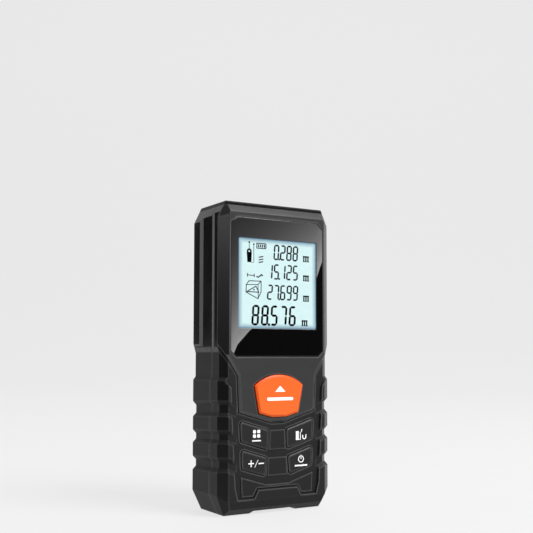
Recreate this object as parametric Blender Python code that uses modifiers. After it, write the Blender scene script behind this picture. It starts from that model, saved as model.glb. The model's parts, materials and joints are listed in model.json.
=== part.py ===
"""Laser distance meter, standing on its lower end.

+Z is up, the keys and the display face -Y, and the laser leaves through the top.
The origin is at the centre of the bottom of the bounding box. Depths are counted
from the front panel towards the back, because the pieces are stacked that way.
"""

import math

import bmesh
import bpy
from mathutils import Matrix, Vector

MM = 0.001

# ---- Body: overall sizes and its facets -------------------------------------
BODY_WIDTH = 47.0 * MM
BODY_HEIGHT = 112.0 * MM
START_PROUD = 1.0 * MM
SEAM_DEPTH = 8.6 * MM
FRONT_BEVEL = (3.2 * MM, 2.9 * MM)
REAR_BEVEL = (2.7 * MM, 2.7 * MM)
TOP_CHAMFER = (3.0 * MM, 6.0 * MM)
TOP_SLOPE = (2.5 * MM, 4.0 * MM)
FOOT_CHAMFER = (3.4 * MM, 7.3 * MM)
FOOT_FACETS = ((0.0, 5.2 * MM), (1.2 * MM, 2.2 * MM), (4.2 * MM, 0.0))
HEEL_SLOPE = (3.1 * MM, 4.0 * MM)
FOOT_RECESS = (8.6 * MM, 1.0 * MM)

# ---- Walls and clearances ----------------------------------------------------
GAP = 0.3 * MM
THIN_GAP = 0.15 * MM
SHELL_WALL = 1.8 * MM
CORE_WALL = 1.6 * MM
GRIP_SKIN = 2.1 * MM
RELIEF = 0.9 * MM

# ---- Hard front panel and grip outline, as seen from the front ---------------
GRIP_TOP = 60.5 * MM
PANEL_SHOULDER = (2.7 * MM, 56.0 * MM)
PANEL_KNEE = (7.1 * MM, 49.2 * MM)
PANEL_BASE_MARGIN = 7.7 * MM
PANEL_TIP_Z = 32.15 * MM
PANEL_TIP_HALF = 2.5 * MM
PANEL_EDGE_WIDTH = 0.7 * MM
PANEL_RIM = 1.2 * MM
CHEVRON_SLOPE = 0.306
CHEVRON_BAND = 3.0 * MM
REAR_PANEL_MARGIN = 5.8 * MM
REAR_PANEL_BOTTOM = 4.8 * MM
REAR_PANEL_CORNER = 2.6 * MM

# ---- Lugs of the grip: a margin from the side for each height ----------------
LUG_EDGE = ((7.1 * MM, 5.7 * MM), (6.0 * MM, 10.0 * MM), (5.8 * MM, 14.0 * MM),
            (4.2 * MM, 45.2 * MM), (2.4 * MM, 47.0 * MM))
NOTCHES = ((16.0 * MM, 18.3 * MM), (25.9 * MM, 27.8 * MM), (35.4 * MM, 38.2 * MM))
NOTCH_FLARE = 1.4 * MM
NOTCH_RISE = 0.9 * MM
NOTCH_SUNK = 1.1 * MM
BAND_START = 6.5 * MM
WAIST_SUNK = 0.8 * MM
WAIST = (48.7 * MM, 57.3 * MM)
WAIST_FLARES = (1.2 * MM, 3.3 * MM)
SHIELD_TIP_HALF = 4.7 * MM
SHIELD_MARGIN = 8.4 * MM
SHIELD_RAISE = 0.4 * MM
SHIELD_BOTTOM = 6.5 * MM
TAB = (8.3 * MM, 9.9 * MM, 3.0 * MM)
TAB_GAP = 0.6 * MM
BOSS_TAPER = 0.3 * MM
BOSS_RAISE = 0.3 * MM
BOSS_INSET = 0.75 * MM

# ---- Steps down the sides above the grip: a depth, and how far it is sunk -----
SIDE_STEPS = ((17.4 * MM, 0.0), (15.5 * MM, 0.55 * MM), (8.7 * MM, 0.6 * MM),
              (7.3 * MM, 1.0 * MM), (3.1 * MM, 1.0 * MM))

# ---- Keys --------------------------------------------------------------------
KEY_GAP = 0.35 * MM
KEY_TRAVEL = 0.8 * MM
KEY_FACE_DEPTH = 0.45 * MM
KEY_FLANGE = (0.7 * MM, 0.8 * MM)
DOME_HEIGHT = 0.35 * MM
KEY_CORNER = 0.8 * MM
UPPER_KEY_HEIGHT = 7.0 * MM
LOWER_KEY_HEIGHT = 6.5 * MM
UPPER_KEY_SIDES = (8.2 * MM, 8.5 * MM, 3.9 * MM, 4.1 * MM)
LOWER_KEY_SIDES = (8.75 * MM, 8.9 * MM, 4.6 * MM, 5.1 * MM)
START_SHOULDER = (10.0 * MM, 45.6 * MM)
START_TOP = 49.4 * MM
START_HIP = (8.2 * MM, 35.8 * MM)
START_BASE = (3.0 * MM, 34.4 * MM)
START_CROWN = 0.5 * MM
PLUNGER_RADIUS = 2.0 * MM
START_PLUNGER_RADIUS = 3.0 * MM

# ---- Display -----------------------------------------------------------------
WINDOW_MARGIN = 4.0 * MM
WINDOW_Z = (56.0 * MM, 106.2 * MM)
WINDOW_CORNERS = (2.0 * MM, 2.4 * MM)
WINDOW_DEPTHS = (0.1 * MM, 1.1 * MM)
TAPE_THICKNESS = 0.2 * MM
LEDGE_THICKNESS = 1.2 * MM
VIEW_BORDER = 2.2 * MM
VIEW_Z = (65.4 * MM, 99.4 * MM)
GUIDE_OVERLAP = (1.0 * MM, 1.9 * MM, 1.0 * MM)
LCD_THICKNESS = 2.0 * MM
BACKLIGHT_THICKNESS = 2.0 * MM
DISPLAY_FRAME_WALL = 1.2 * MM

# ---- Boards ------------------------------------------------------------------
BOARD_DEPTHS = (7.9 * MM, 8.9 * MM)
BOARD_MARGIN = 4.5 * MM
BOARD_Z = (9.0 * MM, 101.3 * MM)
BOARD_SCREW = (6.2 * MM, 52.5 * MM)
BOARD_SCREW_RADIUS = 0.8 * MM

# ---- Housing screws: a margin from the side and a height ---------------------
LOWER_SCREW = (8.5 * MM, 12.0 * MM)
UPPER_SCREW = (5.7 * MM, BODY_HEIGHT - 7.3 * MM)
BOSS_RADIUS = 2.3 * MM
REAR_BOSS_RADIUS = 2.8 * MM
SCREW_RADIUS = 1.1 * MM
HEAD_RADIUS = 1.9 * MM
HEAD_HEIGHT = 1.4 * MM
HEAD_SEAT_DEPTH = 8.5 * MM
SCREW_REACH = 4.0 * MM

# ---- Top cap -----------------------------------------------------------------
CAP_THICKNESS = 0.7 * MM
CAP_GROOVE = 0.8 * MM
NECK_MARGIN = 4.7 * MM
NECK_DEPTHS = (3.8 * MM, 22.4 * MM)
NECK_LENGTH = 2.6 * MM
NECK_WALL = 1.2 * MM
GLASS_THICKNESS = 0.7 * MM
GLASS_SEAT = 0.9 * MM
GLASS_RIM = 0.8 * MM

# ---- Optics ------------------------------------------------------------------
OPTIC_DEPTH = 16.0 * MM
RECEIVER_X = -5.5 * MM
RECEIVER_GLASS_RADIUS = 5.6 * MM
EMITTER_GLASS_RADIUS = 2.8 * MM
LENS_RADIUS = 5.4 * MM
LENS_HEIGHT = 4.0 * MM
TUBE_RADIUS = 3.4 * MM
TUBE_WALL = 0.8 * MM
TUBE_LENGTH = 15.0 * MM
OPTICS_TOP = BODY_HEIGHT - 11.0 * MM
OPTICS_HEIGHT = 33.0 * MM
OPTICS_HALF_DEPTH = 6.5 * MM
OPTICS_WALL = 1.0 * MM
EAR = (2.2 * MM, 2.2 * MM, 1.8 * MM)
EAR_Z = 88.0 * MM
EAR_CLEARANCE = 0.35 * MM
SENSOR_RADIUS = 2.0 * MM

# ---- Battery bay -------------------------------------------------------------
CELL_RADIUS = 5.25 * MM
CELL_BODY = 43.6 * MM
CELL_NUB = (1.9 * MM, 0.8 * MM)
CELL_SPACING = 0.6 * MM
BAY_BOTTOM = 8.0 * MM
BAY_WALL = 1.2 * MM
BAY_CLEARANCE = 1.85 * MM
BAY_PLAY = 0.25 * MM
CONTACT_THICKNESS = 0.3 * MM
SPRING_LENGTH = 2.4 * MM
SPRING_WIRE = 0.25 * MM
COVER_THICKNESS = 1.6 * MM
COVER_LEDGE = 0.9 * MM
COVER_OVERLAP = 1.5 * MM
COVER_TAB = (2.0 * MM, 1.8 * MM, 0.8 * MM)
COVER_TAB_X = 7.0 * MM
FOAM_THICKNESS = 0.5 * MM
RIB_COUNT = 6
RIB_PITCH = 1.6 * MM

ROUND_STEPS = 28
ARC_STEPS = 6

# ---- Places that follow from the sizes above ---------------------------------
HALF_WIDTH = BODY_WIDTH / 2
BODY_DEPTH = (BOARD_DEPTHS[1] + BAY_CLEARANCE + BAY_WALL + 2 * CELL_RADIUS + FOAM_THICKNESS
              + COVER_THICKNESS + 3 * THIN_GAP)
EMITTER_X = (HALF_WIDTH - SHELL_WALL - EAR_CLEARANCE - EAR[0] - EAR[1] - OPTICS_WALL
             - THIN_GAP - TUBE_RADIUS)
FRONT_Y = START_PROUD - (BODY_DEPTH + START_PROUD) / 2
SHELL_TOP = BODY_HEIGHT - CAP_THICKNESS - CAP_GROOVE
CORE_INSET = GRIP_SKIN + GAP
CAVITY_INSET = CORE_INSET + CORE_WALL
UPPER_CAVITY_Z = GRIP_TOP + 1.2 * MM
KEY_FLANGE_DEPTH = CAVITY_INSET + GAP
POCKET_DEPTH = WINDOW_DEPTHS[1] + 2 * THIN_GAP + TAPE_THICKNESS
LEDGE_DEPTH = POCKET_DEPTH + LEDGE_THICKNESS
LCD_DEPTH = WINDOW_DEPTHS[1] + THIN_GAP
BACKLIGHT_DEPTH = LCD_DEPTH + LCD_THICKNESS + THIN_GAP
PLUNGER_END = BOARD_DEPTHS[0] - THIN_GAP - DOME_HEIGHT - KEY_TRAVEL - THIN_GAP
CAVITY_TOP = SHELL_TOP - SHELL_WALL
CELL_DEPTH = BODY_DEPTH - COVER_THICKNESS - FOAM_THICKNESS - 2 * THIN_GAP - CELL_RADIUS
CELL_X = CELL_RADIUS + CELL_SPACING / 2
BAY_HALF = 2 * CELL_RADIUS + CELL_SPACING / 2 + BAY_PLAY
BAY_FLOOR_DEPTH = CELL_DEPTH - CELL_RADIUS - THIN_GAP
BAY_TOP = (BAY_BOTTOM + CELL_BODY + CELL_NUB[1] + SPRING_LENGTH
           + 2 * CONTACT_THICKNESS + 5 * THIN_GAP)
COVER_Z = (BAY_BOTTOM - COVER_OVERLAP, BAY_TOP + COVER_OVERLAP)
COVER_HALF = BAY_HALF + COVER_LEDGE
UPPER_TIP_Z = PANEL_TIP_Z - CHEVRON_BAND
LOWER_TIP_Z = UPPER_TIP_Z - UPPER_KEY_HEIGHT - CHEVRON_BAND
SHIELD_TIP_Z = LOWER_TIP_Z - LOWER_KEY_HEIGHT - CHEVRON_BAND
WINDOW_HALF = HALF_WIDTH - WINDOW_MARGIN
VIEW_HALF = WINDOW_HALF - VIEW_BORDER
EAR_DEPTH = OPTIC_DEPTH - 2.0 * MM

# ---- Materials: colour, roughness, metallic ----------------------------------
FINISHES = {
    "hard_plastic": ((0.045, 0.045, 0.047, 1), 0.42, 0.0),
    "soft_grip": ((0.040, 0.040, 0.042, 1), 0.62, 0.0),
    "key_rubber": ((0.035, 0.035, 0.037, 1), 0.60, 0.0),
    "start_orange": ((0.90, 0.20, 0.035, 1), 0.38, 0.0),
    "window_acrylic": ((0.012, 0.012, 0.013, 1), 0.05, 0.0),
    "display_glass": ((0.62, 0.90, 0.92, 1), 0.20, 0.0),
    "light_guide": ((0.85, 0.95, 0.97, 1), 0.35, 0.0),
    "white_plastic": ((0.75, 0.75, 0.73, 1), 0.50, 0.0),
    "board_green": ((0.02, 0.16, 0.07, 1), 0.45, 0.0),
    "black_epoxy": ((0.02, 0.02, 0.02, 1), 0.40, 0.0),
    "silicone": ((0.30, 0.30, 0.31, 1), 0.65, 0.0),
    "carbon": ((0.015, 0.015, 0.015, 1), 0.80, 0.0),
    "cast_metal": ((0.50, 0.51, 0.53, 1), 0.45, 1.0),
    "brass": ((0.72, 0.52, 0.22, 1), 0.30, 1.0),
    "steel": ((0.60, 0.60, 0.60, 1), 0.30, 1.0),
    "optical_glass": ((0.75, 0.85, 0.90, 1), 0.03, 0.0),
    "red_filter": ((0.25, 0.02, 0.03, 1), 0.05, 0.0),
    "cell_sleeve": ((0.30, 0.32, 0.36, 1), 0.30, 0.3),
    "foam": ((0.03, 0.03, 0.03, 1), 0.95, 0.0),
    "label": ((0.28, 0.28, 0.29, 1), 0.55, 0.0),
}


def depth(distance):
    """The Y of a plane this far behind the front panel."""
    return FRONT_Y + distance


def material(name):
    """The Principled material of this name, made once."""
    made = bpy.data.materials.get(name)
    if made is None:
        made = bpy.data.materials.new(name)
        made.use_nodes = True
        colour, roughness, metallic = FINISHES[name]
        shader = made.node_tree.nodes["Principled BSDF"]
        shader.inputs["Base Color"].default_value = colour
        shader.inputs["Roughness"].default_value = roughness
        shader.inputs["Metallic"].default_value = metallic
        made.diffuse_color = colour
    return made


def place_in(collection, obj):
    for old in obj.users_collection:
        old.objects.unlink(obj)
    bpy.data.collections[collection].objects.link(obj)


def object_from(bm, name):
    """A new cutter or blank from a bmesh, in the tools collection."""
    bmesh.ops.recalc_face_normals(bm, faces=bm.faces)
    mesh = bpy.data.meshes.new(name)
    bm.to_mesh(mesh)
    bm.free()
    obj = bpy.data.objects.new(name, mesh)
    bpy.data.collections["cutters"].objects.link(obj)
    obj.hide_render = True
    obj.display_type = "WIRE"
    return obj


def finish(obj, name, finish_name):
    """Turns a blank into a named part of the meter."""
    obj.name = name
    obj.data.name = name
    obj.hide_render = False
    obj.display_type = "TEXTURED"
    obj.data.materials.clear()
    obj.data.materials.append(material(finish_name))
    obj.data.shade_smooth()
    obj.data.set_sharp_from_angle(angle=math.radians(35))
    place_in("laser_distance_meter", obj)
    return obj


def combine(obj, operation, *tools):
    """Cuts or joins tools to obj with live EXACT Booleans."""
    for tool in tools:
        modifier = obj.modifiers.new(f"{operation.lower()} {tool.name}", "BOOLEAN")
        modifier.operation = operation
        modifier.solver = "EXACT"
        modifier.object = tool
    return obj


def cut(obj, *tools):
    return combine(obj, "DIFFERENCE", *tools)


def join(obj, *tools):
    return combine(obj, "UNION", *tools)


# ---- Outlines in the XZ plane, anticlockwise as seen from the front ----------

def moved_out(outline, distance):
    """The outline with its edges moved outwards, and mitred corners."""
    moved = []
    for i, point in enumerate(outline):
        here = Vector(point)
        along = (here - Vector(outline[i - 1])).normalized()
        after = (Vector(outline[(i + 1) % len(outline)]) - here).normalized()
        normals = Vector((along.y, -along.x)), Vector((after.y, -after.x))
        mitre = (normals[0] + normals[1]) / (1 + normals[0].dot(normals[1]))
        moved.append(tuple(here + mitre * distance))
    return moved


def rounded(outline, radius, steps=3):
    """The outline with each corner replaced by an arc."""
    points = []
    for i, point in enumerate(outline):
        here = Vector(point)
        back = (Vector(outline[i - 1]) - here).normalized()
        ahead = (Vector(outline[(i + 1) % len(outline)]) - here).normalized()
        half = back.angle(ahead) / 2
        if half > math.radians(84):
            points.append(tuple(here))
            continue
        centre = here + (back + ahead).normalized() * (radius / math.sin(half))
        first = here + back * (radius / math.tan(half)) - centre
        last = here + ahead * (radius / math.tan(half)) - centre
        for step in range(steps + 1):
            toward = first.slerp(last, step / steps).normalized()
            points.append(tuple(centre + toward * radius))
    return points


def mirrored(right_side):
    """A symmetric outline from its right side, given from the bottom to the top."""
    return list(right_side) + [(-x, z) for x, z in reversed(right_side)]


def rectangle(half, low, high):
    return mirrored([(half, low), (half, high)])


def chevron(tip_z, x, tip_half=PANEL_TIP_HALF):
    """Height of the V-shaped line with this tip, at x."""
    return tip_z + CHEVRON_SLOPE * max(abs(x) - tip_half, 0.0)


def front_panel_outline():
    """The hard part of the front: display end, and the panel round the start key."""
    base = HALF_WIDTH - PANEL_BASE_MARGIN
    beyond = HALF_WIDTH + 10 * MM
    shoulder = (HALF_WIDTH - PANEL_SHOULDER[0], PANEL_SHOULDER[1])
    rise = (GRIP_TOP - PANEL_SHOULDER[1]) / PANEL_SHOULDER[0]
    return mirrored([
        (PANEL_TIP_HALF, PANEL_TIP_Z),
        (base, chevron(PANEL_TIP_Z, base)),
        (HALF_WIDTH - PANEL_KNEE[0], PANEL_KNEE[1]),
        shoulder,
        (beyond, shoulder[1] + rise * (beyond - shoulder[0])),
        (beyond, BODY_HEIGHT + 20 * MM),
    ])


def rear_panel_outline():
    """The hard part of the back: upper half, and the panel round the battery cover."""
    half = HALF_WIDTH - REAR_PANEL_MARGIN
    beyond = HALF_WIDTH + 10 * MM
    slope = (GRIP_TOP - PANEL_SHOULDER[1]) / PANEL_SHOULDER[0]
    return mirrored([
        (half - REAR_PANEL_CORNER, REAR_PANEL_BOTTOM),
        (half, REAR_PANEL_BOTTOM + REAR_PANEL_CORNER),
        (half, GRIP_TOP - slope * REAR_PANEL_MARGIN),
        (beyond, GRIP_TOP + slope * (beyond - HALF_WIDTH)),
        (beyond, BODY_HEIGHT + 20 * MM),
    ])


def window_outline():
    low, high = WINDOW_CORNERS
    return mirrored([
        (WINDOW_HALF - low, WINDOW_Z[0]),
        (WINDOW_HALF, WINDOW_Z[0] + low),
        (WINDOW_HALF, WINDOW_Z[1] - high),
        (WINDOW_HALF - high, WINDOW_Z[1]),
    ])


def start_outline():
    """Key with five sides and an arched top."""
    half, shoulder_z = START_SHOULDER
    rise = START_TOP - shoulder_z
    radius = (half * half + rise * rise) / (2 * rise)
    sweep = math.asin(half / radius)
    right = [START_BASE, START_HIP, START_SHOULDER]
    for step in range(1, ARC_STEPS):
        angle = sweep * (1 - step / ARC_STEPS)
        right.append((radius * math.sin(angle), START_TOP - radius * (1 - math.cos(angle))))
    return right + [(0.0, START_TOP)] + [(-x, z) for x, z in reversed(right)]


def key_outline(side, tip_z, height, sides):
    """A key below the V line at tip_z; side is -1 on the left and 1 on the right."""
    outer_top, outer_low, inner_top, inner_low = sides
    top_out, low_out = HALF_WIDTH - outer_top, HALF_WIDTH - outer_low
    right = [
        (inner_low, chevron(tip_z, inner_low) - height),
        (low_out, chevron(tip_z, low_out) - height),
        (top_out, chevron(tip_z, top_out)),
        (inner_top, chevron(tip_z, inner_top)),
    ]
    return right if side > 0 else [(-x, z) for x, z in reversed(right)]


def lug_outline():
    """The low area between the lugs on the front of the grip, above the tab of the foot."""
    top_half, low_half, rise = TAB
    base = LUG_EDGE[0][1]
    right = [(low_half, base), *((HALF_WIDTH - margin, z) for margin, z in LUG_EDGE)]
    beyond = HALF_WIDTH + 10 * MM
    right += [(beyond, LUG_EDGE[-1][1] + 1.2 * MM), (beyond, 75 * MM)]
    left = [(-x, z) for x, z in reversed(right)]
    return right + left + [(-top_half, base + rise), (top_half, base + rise)]


def shield_outline():
    """The raised panel under the V line, with a notch for the tab of the foot."""
    side = HALF_WIDTH - SHIELD_MARGIN
    top_half, low_half, rise = TAB
    top_z = LUG_EDGE[0][1] + rise + TAB_GAP
    lean = (low_half - top_half) / rise
    return mirrored([
        (top_half + 0.5 * TAB_GAP, top_z),
        (top_half + 0.5 * TAB_GAP + lean * (top_z - SHIELD_BOTTOM), SHIELD_BOTTOM),
        (side - 0.4 * MM, SHIELD_BOTTOM),
        (side, chevron(SHIELD_TIP_Z, side)),
        (SHIELD_TIP_HALF, chevron(SHIELD_TIP_Z, SHIELD_TIP_HALF)),
    ])


def key_bosses():
    """The two raised pads between the left and the right keys."""
    pads = []
    for name, tip_z, height, sides in (
            ("upper", UPPER_TIP_Z, UPPER_KEY_HEIGHT, UPPER_KEY_SIDES),
            ("lower", LOWER_TIP_Z, LOWER_KEY_HEIGHT, LOWER_KEY_SIDES)):
        half = sides[2] - BOSS_INSET
        top = chevron(tip_z, sides[2])
        outline = mirrored([(half + BOSS_TAPER, top - height), (half, top)])
        pads.append(outline_solid(f"{name} pad", outline, RELIEF - BOSS_RAISE,
                                  RELIEF + 0.4 * MM))
    return pads


# ---- Solids ------------------------------------------------------------------

def outline_solid(name, outline, near, far):
    """A flat outline with its faces at two depths: a filled 2D curve, made a mesh."""
    curve = bpy.data.curves.new(name, "CURVE")
    curve.dimensions = "2D"
    curve.fill_mode = "BOTH"
    curve.extrude = (far - near) / 2
    spline = curve.splines.new("POLY")
    spline.points.add(len(outline) - 1)
    for point, (x, z) in zip(spline.points, outline):
        point.co = (x, z, 0, 1)
    spline.use_cyclic_u = True
    drawn = bpy.data.objects.new(name, curve)
    drawn.location = (0, depth((near + far) / 2), 0)
    drawn.rotation_euler = (math.radians(90), 0, 0)
    bpy.data.collections["cutters"].objects.link(drawn)
    bpy.context.view_layer.update()
    graph = bpy.context.evaluated_depsgraph_get()
    mesh = bpy.data.meshes.new_from_object(drawn.evaluated_get(graph))
    bm = bmesh.new()
    bm.from_mesh(mesh)
    bm.transform(drawn.matrix_world)
    bmesh.ops.remove_doubles(bm, verts=bm.verts, dist=1e-6)
    bpy.data.objects.remove(drawn)
    bpy.data.curves.remove(curve)
    bpy.data.meshes.remove(mesh)
    return object_from(bm, name)


def tapered_solid(name, outline, near, far, growth):
    """An outline at depth far, whose near face is moved outwards by growth."""
    bm = bmesh.new()
    far_points = [bm.verts.new((x, depth(far), z)) for x, z in outline]
    face = bm.faces.new(far_points)
    pulled = bmesh.ops.extrude_face_region(bm, geom=[face])["geom"]
    near_points = [v for v in pulled if isinstance(v, bmesh.types.BMVert)]
    goals = {(round(x, 7), round(z, 7)): goal
             for (x, z), goal in zip(outline, moved_out(outline, growth))}
    for vert in near_points:
        x, z = goals[(round(vert.co.x, 7), round(vert.co.z, 7))]
        vert.co = (x, depth(near), z)
    return object_from(bm, name)


def box(name, x, y_depths, z):
    """A box from its limits: x and z as (low, high), and two depths."""
    bm = bmesh.new()
    bmesh.ops.create_cube(bm, size=1)
    size = (x[1] - x[0], y_depths[1] - y_depths[0], z[1] - z[0])
    centre = (sum(x) / 2, depth(sum(y_depths) / 2), sum(z) / 2)
    bm.transform(Matrix.LocRotScale(centre, None, size))
    return object_from(bm, name)


def rod(name, radius, low, high, axis="Z", x=0.0, across=0.0, steps=ROUND_STEPS, low_radius=None):
    """A cylinder. Along Z, across is its depth; along Y, low and high are depths and across is Z."""
    bm = bmesh.new()
    first = radius if low_radius is None else low_radius
    bmesh.ops.create_cone(bm, cap_ends=True, segments=steps, radius1=first, radius2=radius,
                          depth=high - low)
    middle = (low + high) / 2
    if axis == "Z":
        bm.transform(Matrix.Translation((x, depth(across), middle)))
    else:
        turned = Matrix.Rotation(math.radians(-90), 4, "X")
        bm.transform(Matrix.Translation((x, depth(middle), across)) @ turned)
    return object_from(bm, name)


def turned(name, profile, steps=ROUND_STEPS):
    """A profile of (radius, z), from the top of its outer side down, spun round Z with Screw."""
    bm = bmesh.new()
    verts = [bm.verts.new((radius, 0, z)) for radius, z in profile]
    for first, second in zip(verts, verts[1:]):
        bm.edges.new((first, second))
    mesh = bpy.data.meshes.new(name)
    bm.to_mesh(mesh)
    bm.free()
    obj = bpy.data.objects.new(name, mesh)
    bpy.data.collections["cutters"].objects.link(obj)
    screw = obj.modifiers.new("spin", "SCREW")
    screw.axis = "Z"
    screw.steps = screw.render_steps = steps
    screw.use_merge_vertices = True
    screw.merge_threshold = 0.00001
    return obj


def body_planes(inset):
    """The facets that turn a box into the body, each as a point and an outward normal."""
    middle = Vector((0, depth(BODY_DEPTH / 2), BODY_HEIGHT / 2))
    top, back = BODY_HEIGHT, BODY_DEPTH
    corners = []
    (bx, by), (rx, ry), (tx, tz) = FRONT_BEVEL, REAR_BEVEL, TOP_CHAMFER
    (sy, sz), (fx, fz), (hy, hz) = TOP_SLOPE, FOOT_CHAMFER, HEEL_SLOPE
    foot_y = FOOT_FACETS[-1][0]
    for side in (-1, 1):
        edge = side * HALF_WIDTH
        corners += [
            ((edge, by, 0), (edge - side * bx, 0, 0), (edge, by, top)),
            ((edge, back - ry, 0), (edge - side * rx, back, 0), (edge, back - ry, top)),
            ((edge, 0, top - tz), (edge - side * tx, 0, top), (edge, back, top - tz)),
            ((edge, 0, fz), (edge - side * fx, 0, 0), (edge, back, fz)),
            ((edge, by, top - tz), (edge - side * bx, 0, top - 5 * MM),
             (edge - side * tx, sy, top)),
            ((edge, back - ry, top - tz), (edge - side * rx, back, top - 5 * MM),
             (edge - side * tx, back - sy, top)),
            ((edge, by, fz), (edge - side * bx, 0, FOOT_FACETS[0][1]),
             (edge - side * fx, foot_y, 0)),
            ((edge, back - ry, fz), (edge - side * rx, back, hz),
             (edge - side * fx, back - hy, 0)),
        ]
    corners += [
        ((0, 0, top - sz), (1, 0, top - sz), (0, sy, top)),
        ((0, back, top - sz), (1, back, top - sz), (0, back - sy, top)),
        ((0, back, hz), (1, back, hz), (0, back - hy, 0)),
    ]
    for (y0, z0), (y1, z1) in zip(FOOT_FACETS, FOOT_FACETS[1:]):
        corners.append(((0, y0, z0), (1, y0, z0), (0, y1, z1)))
    planes = []
    for three in corners:
        a, b, c = (Vector((x, depth(d), z)) for x, d, z in three)
        normal = (b - a).cross(c - a).normalized()
        if normal.dot(a - middle) < 0:
            normal.negate()
        planes.append((a - normal * inset, normal))
    return planes


def slice_off(bm, point, normal):
    """Removes what lies beyond the plane, and closes the cut."""
    geometry = bm.verts[:] + bm.edges[:] + bm.faces[:]
    made = bmesh.ops.bisect_plane(bm, geom=geometry, dist=1e-8, plane_co=point,
                                  plane_no=normal, clear_outer=True)
    edges = [e for e in made["geom_cut"] if isinstance(e, bmesh.types.BMEdge)]
    if edges:
        bmesh.ops.contextual_create(bm, geom=edges)


def body_block(name, inset=0.0, depths=None, heights=None):
    """The faceted body, smaller by inset all round, kept between two depths and two heights."""
    bm = bmesh.new()
    bmesh.ops.create_cube(bm, size=1)
    size = Vector((BODY_WIDTH, BODY_DEPTH, BODY_HEIGHT)) - Vector((2 * inset,) * 3)
    centre = (0, depth(BODY_DEPTH / 2), BODY_HEIGHT / 2)
    bm.transform(Matrix.LocRotScale(centre, None, size))
    for point, normal in body_planes(inset):
        slice_off(bm, point, normal)
    if depths:
        slice_off(bm, (0, depth(depths[0]), 0), (0, -1, 0))
        slice_off(bm, (0, depth(depths[1]), 0), (0, 1, 0))
    if heights:
        slice_off(bm, (0, 0, heights[0]), (0, 0, -1))
        slice_off(bm, (0, 0, heights[1]), (0, 0, 1))
    return object_from(bm, name)


def side_path(side, front_x):
    """Corners of the body's section on one side, from the front round to the back."""
    return [
        (side * front_x, 0.0),
        (side * (HALF_WIDTH - FRONT_BEVEL[0]), 0.0),
        (side * HALF_WIDTH, FRONT_BEVEL[1]),
        (side * HALF_WIDTH, BODY_DEPTH - REAR_BEVEL[1]),
        (side * (HALF_WIDTH - REAR_BEVEL[0]), BODY_DEPTH),
        (side * front_x, BODY_DEPTH),
    ]


def side_band(name, side, low, high, sunk, flares, rises, front_x):
    """A groove with sloping walls that follows the side of the body: a loft along side_path."""
    path = side_path(side, front_x)
    beyond = 1.0 * MM
    spread = (sunk + beyond) / sunk
    sections = []
    for i, (x, d) in enumerate(path):
        here = Vector((x, d))
        before = here - Vector(path[i - 1]) if i else Vector(path[1]) - here
        after = Vector(path[i + 1]) - here if i + 1 < len(path) else before
        normals = []
        for along in (before.normalized(), after.normalized()):
            normals.append(Vector((along.y, -along.x)) * side)
        mitre = (normals[0] + normals[1]) / (1 + normals[0].dot(normals[1]))
        inner, outer = here - mitre * sunk, here + mitre * beyond
        sections.append([
            (outer.x, outer.y, low - flares[0] * spread + rises[i]),
            (outer.x, outer.y, high + flares[1] * spread + rises[i]),
            (inner.x, inner.y, high + rises[i]),
            (inner.x, inner.y, low + rises[i]),
        ])
    bm = bmesh.new()
    rings = []
    for section in sections:
        rings.append([bm.verts.new((x, depth(d), z)) for x, d, z in section])
    for first, second in zip(rings, rings[1:]):
        for i in range(4):
            j = (i + 1) % 4
            bm.faces.new((first[i], first[j], second[j], second[i]))
    bm.faces.new(rings[0])
    bm.faces.new(reversed(rings[-1]))
    return object_from(bm, name)


def grip_bands():
    """The waist and the notches between the lugs, on both sides."""
    bands = []
    for side in (-1, 1):
        front_x = HALF_WIDTH - BAND_START
        bands.append(side_band(f"waist {side}", side, *WAIST, WAIST_SUNK, WAIST_FLARES,
                               (0,) * 6, front_x))
        for i, (low, high) in enumerate(NOTCHES):
            drop = 0.42 * (HALF_WIDTH - FRONT_BEVEL[0] - front_x)
            rises = (NOTCH_RISE - drop, NOTCH_RISE, NOTCH_RISE, 0, 0, 0)
            flares = (NOTCH_FLARE, NOTCH_FLARE)
            bands.append(side_band(f"notch {side} {i}", side, low, high, NOTCH_SUNK, flares,
                                   rises, front_x))
    return bands


def foot_recess():
    """The gap between the two feet, at the middle of the lower end."""
    half, height = FOOT_RECESS
    low = -2 * MM
    outline = [(half + height - low, low), (half, height), (-half, height),
               (-half - height + low, low)]
    return outline_solid("foot recess", outline, -5 * MM, BODY_DEPTH + 5 * MM)


def screw_places():
    """(x, z) of the four housing screws."""
    return [(side * (HALF_WIDTH - margin), z)
            for margin, z in (LOWER_SCREW, UPPER_SCREW) for side in (-1, 1)]


def board_screw_places():
    margin, z = BOARD_SCREW
    return [(side * (HALF_WIDTH - margin), z) for side in (-1, 1)]


def cavity(name, front_depth):
    """The room for the works: narrow inside the grip, wide behind the display."""
    upper = body_block(f"{name} upper", SHELL_WALL, (front_depth, BODY_DEPTH),
                       (UPPER_CAVITY_Z, CAVITY_TOP))
    return body_block(f"{name} lower", CAVITY_INSET), upper


def neck_hole():
    half = HALF_WIDTH - NECK_MARGIN + THIN_GAP
    return box("neck hole", (-half, half), (NECK_DEPTHS[0] - THIN_GAP, NECK_DEPTHS[1] + THIN_GAP),
               (SHELL_TOP - NECK_LENGTH - THIN_GAP, BODY_HEIGHT + 5 * MM))


def keys():
    """(name, outline, tip height) of the four small keys."""
    upper = (UPPER_TIP_Z, UPPER_KEY_HEIGHT, UPPER_KEY_SIDES)
    lower = (LOWER_TIP_Z, LOWER_KEY_HEIGHT, LOWER_KEY_SIDES)
    return [
        ("function_key", key_outline(-1, *upper)),
        ("reference_key", key_outline(1, *upper)),
        ("plus_minus_key", key_outline(-1, *lower)),
        ("power_key", key_outline(1, *lower)),
    ]


def centre_of(outline):
    count = len(outline)
    return sum(x for x, _ in outline) / count, sum(z for _, z in outline) / count


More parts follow.
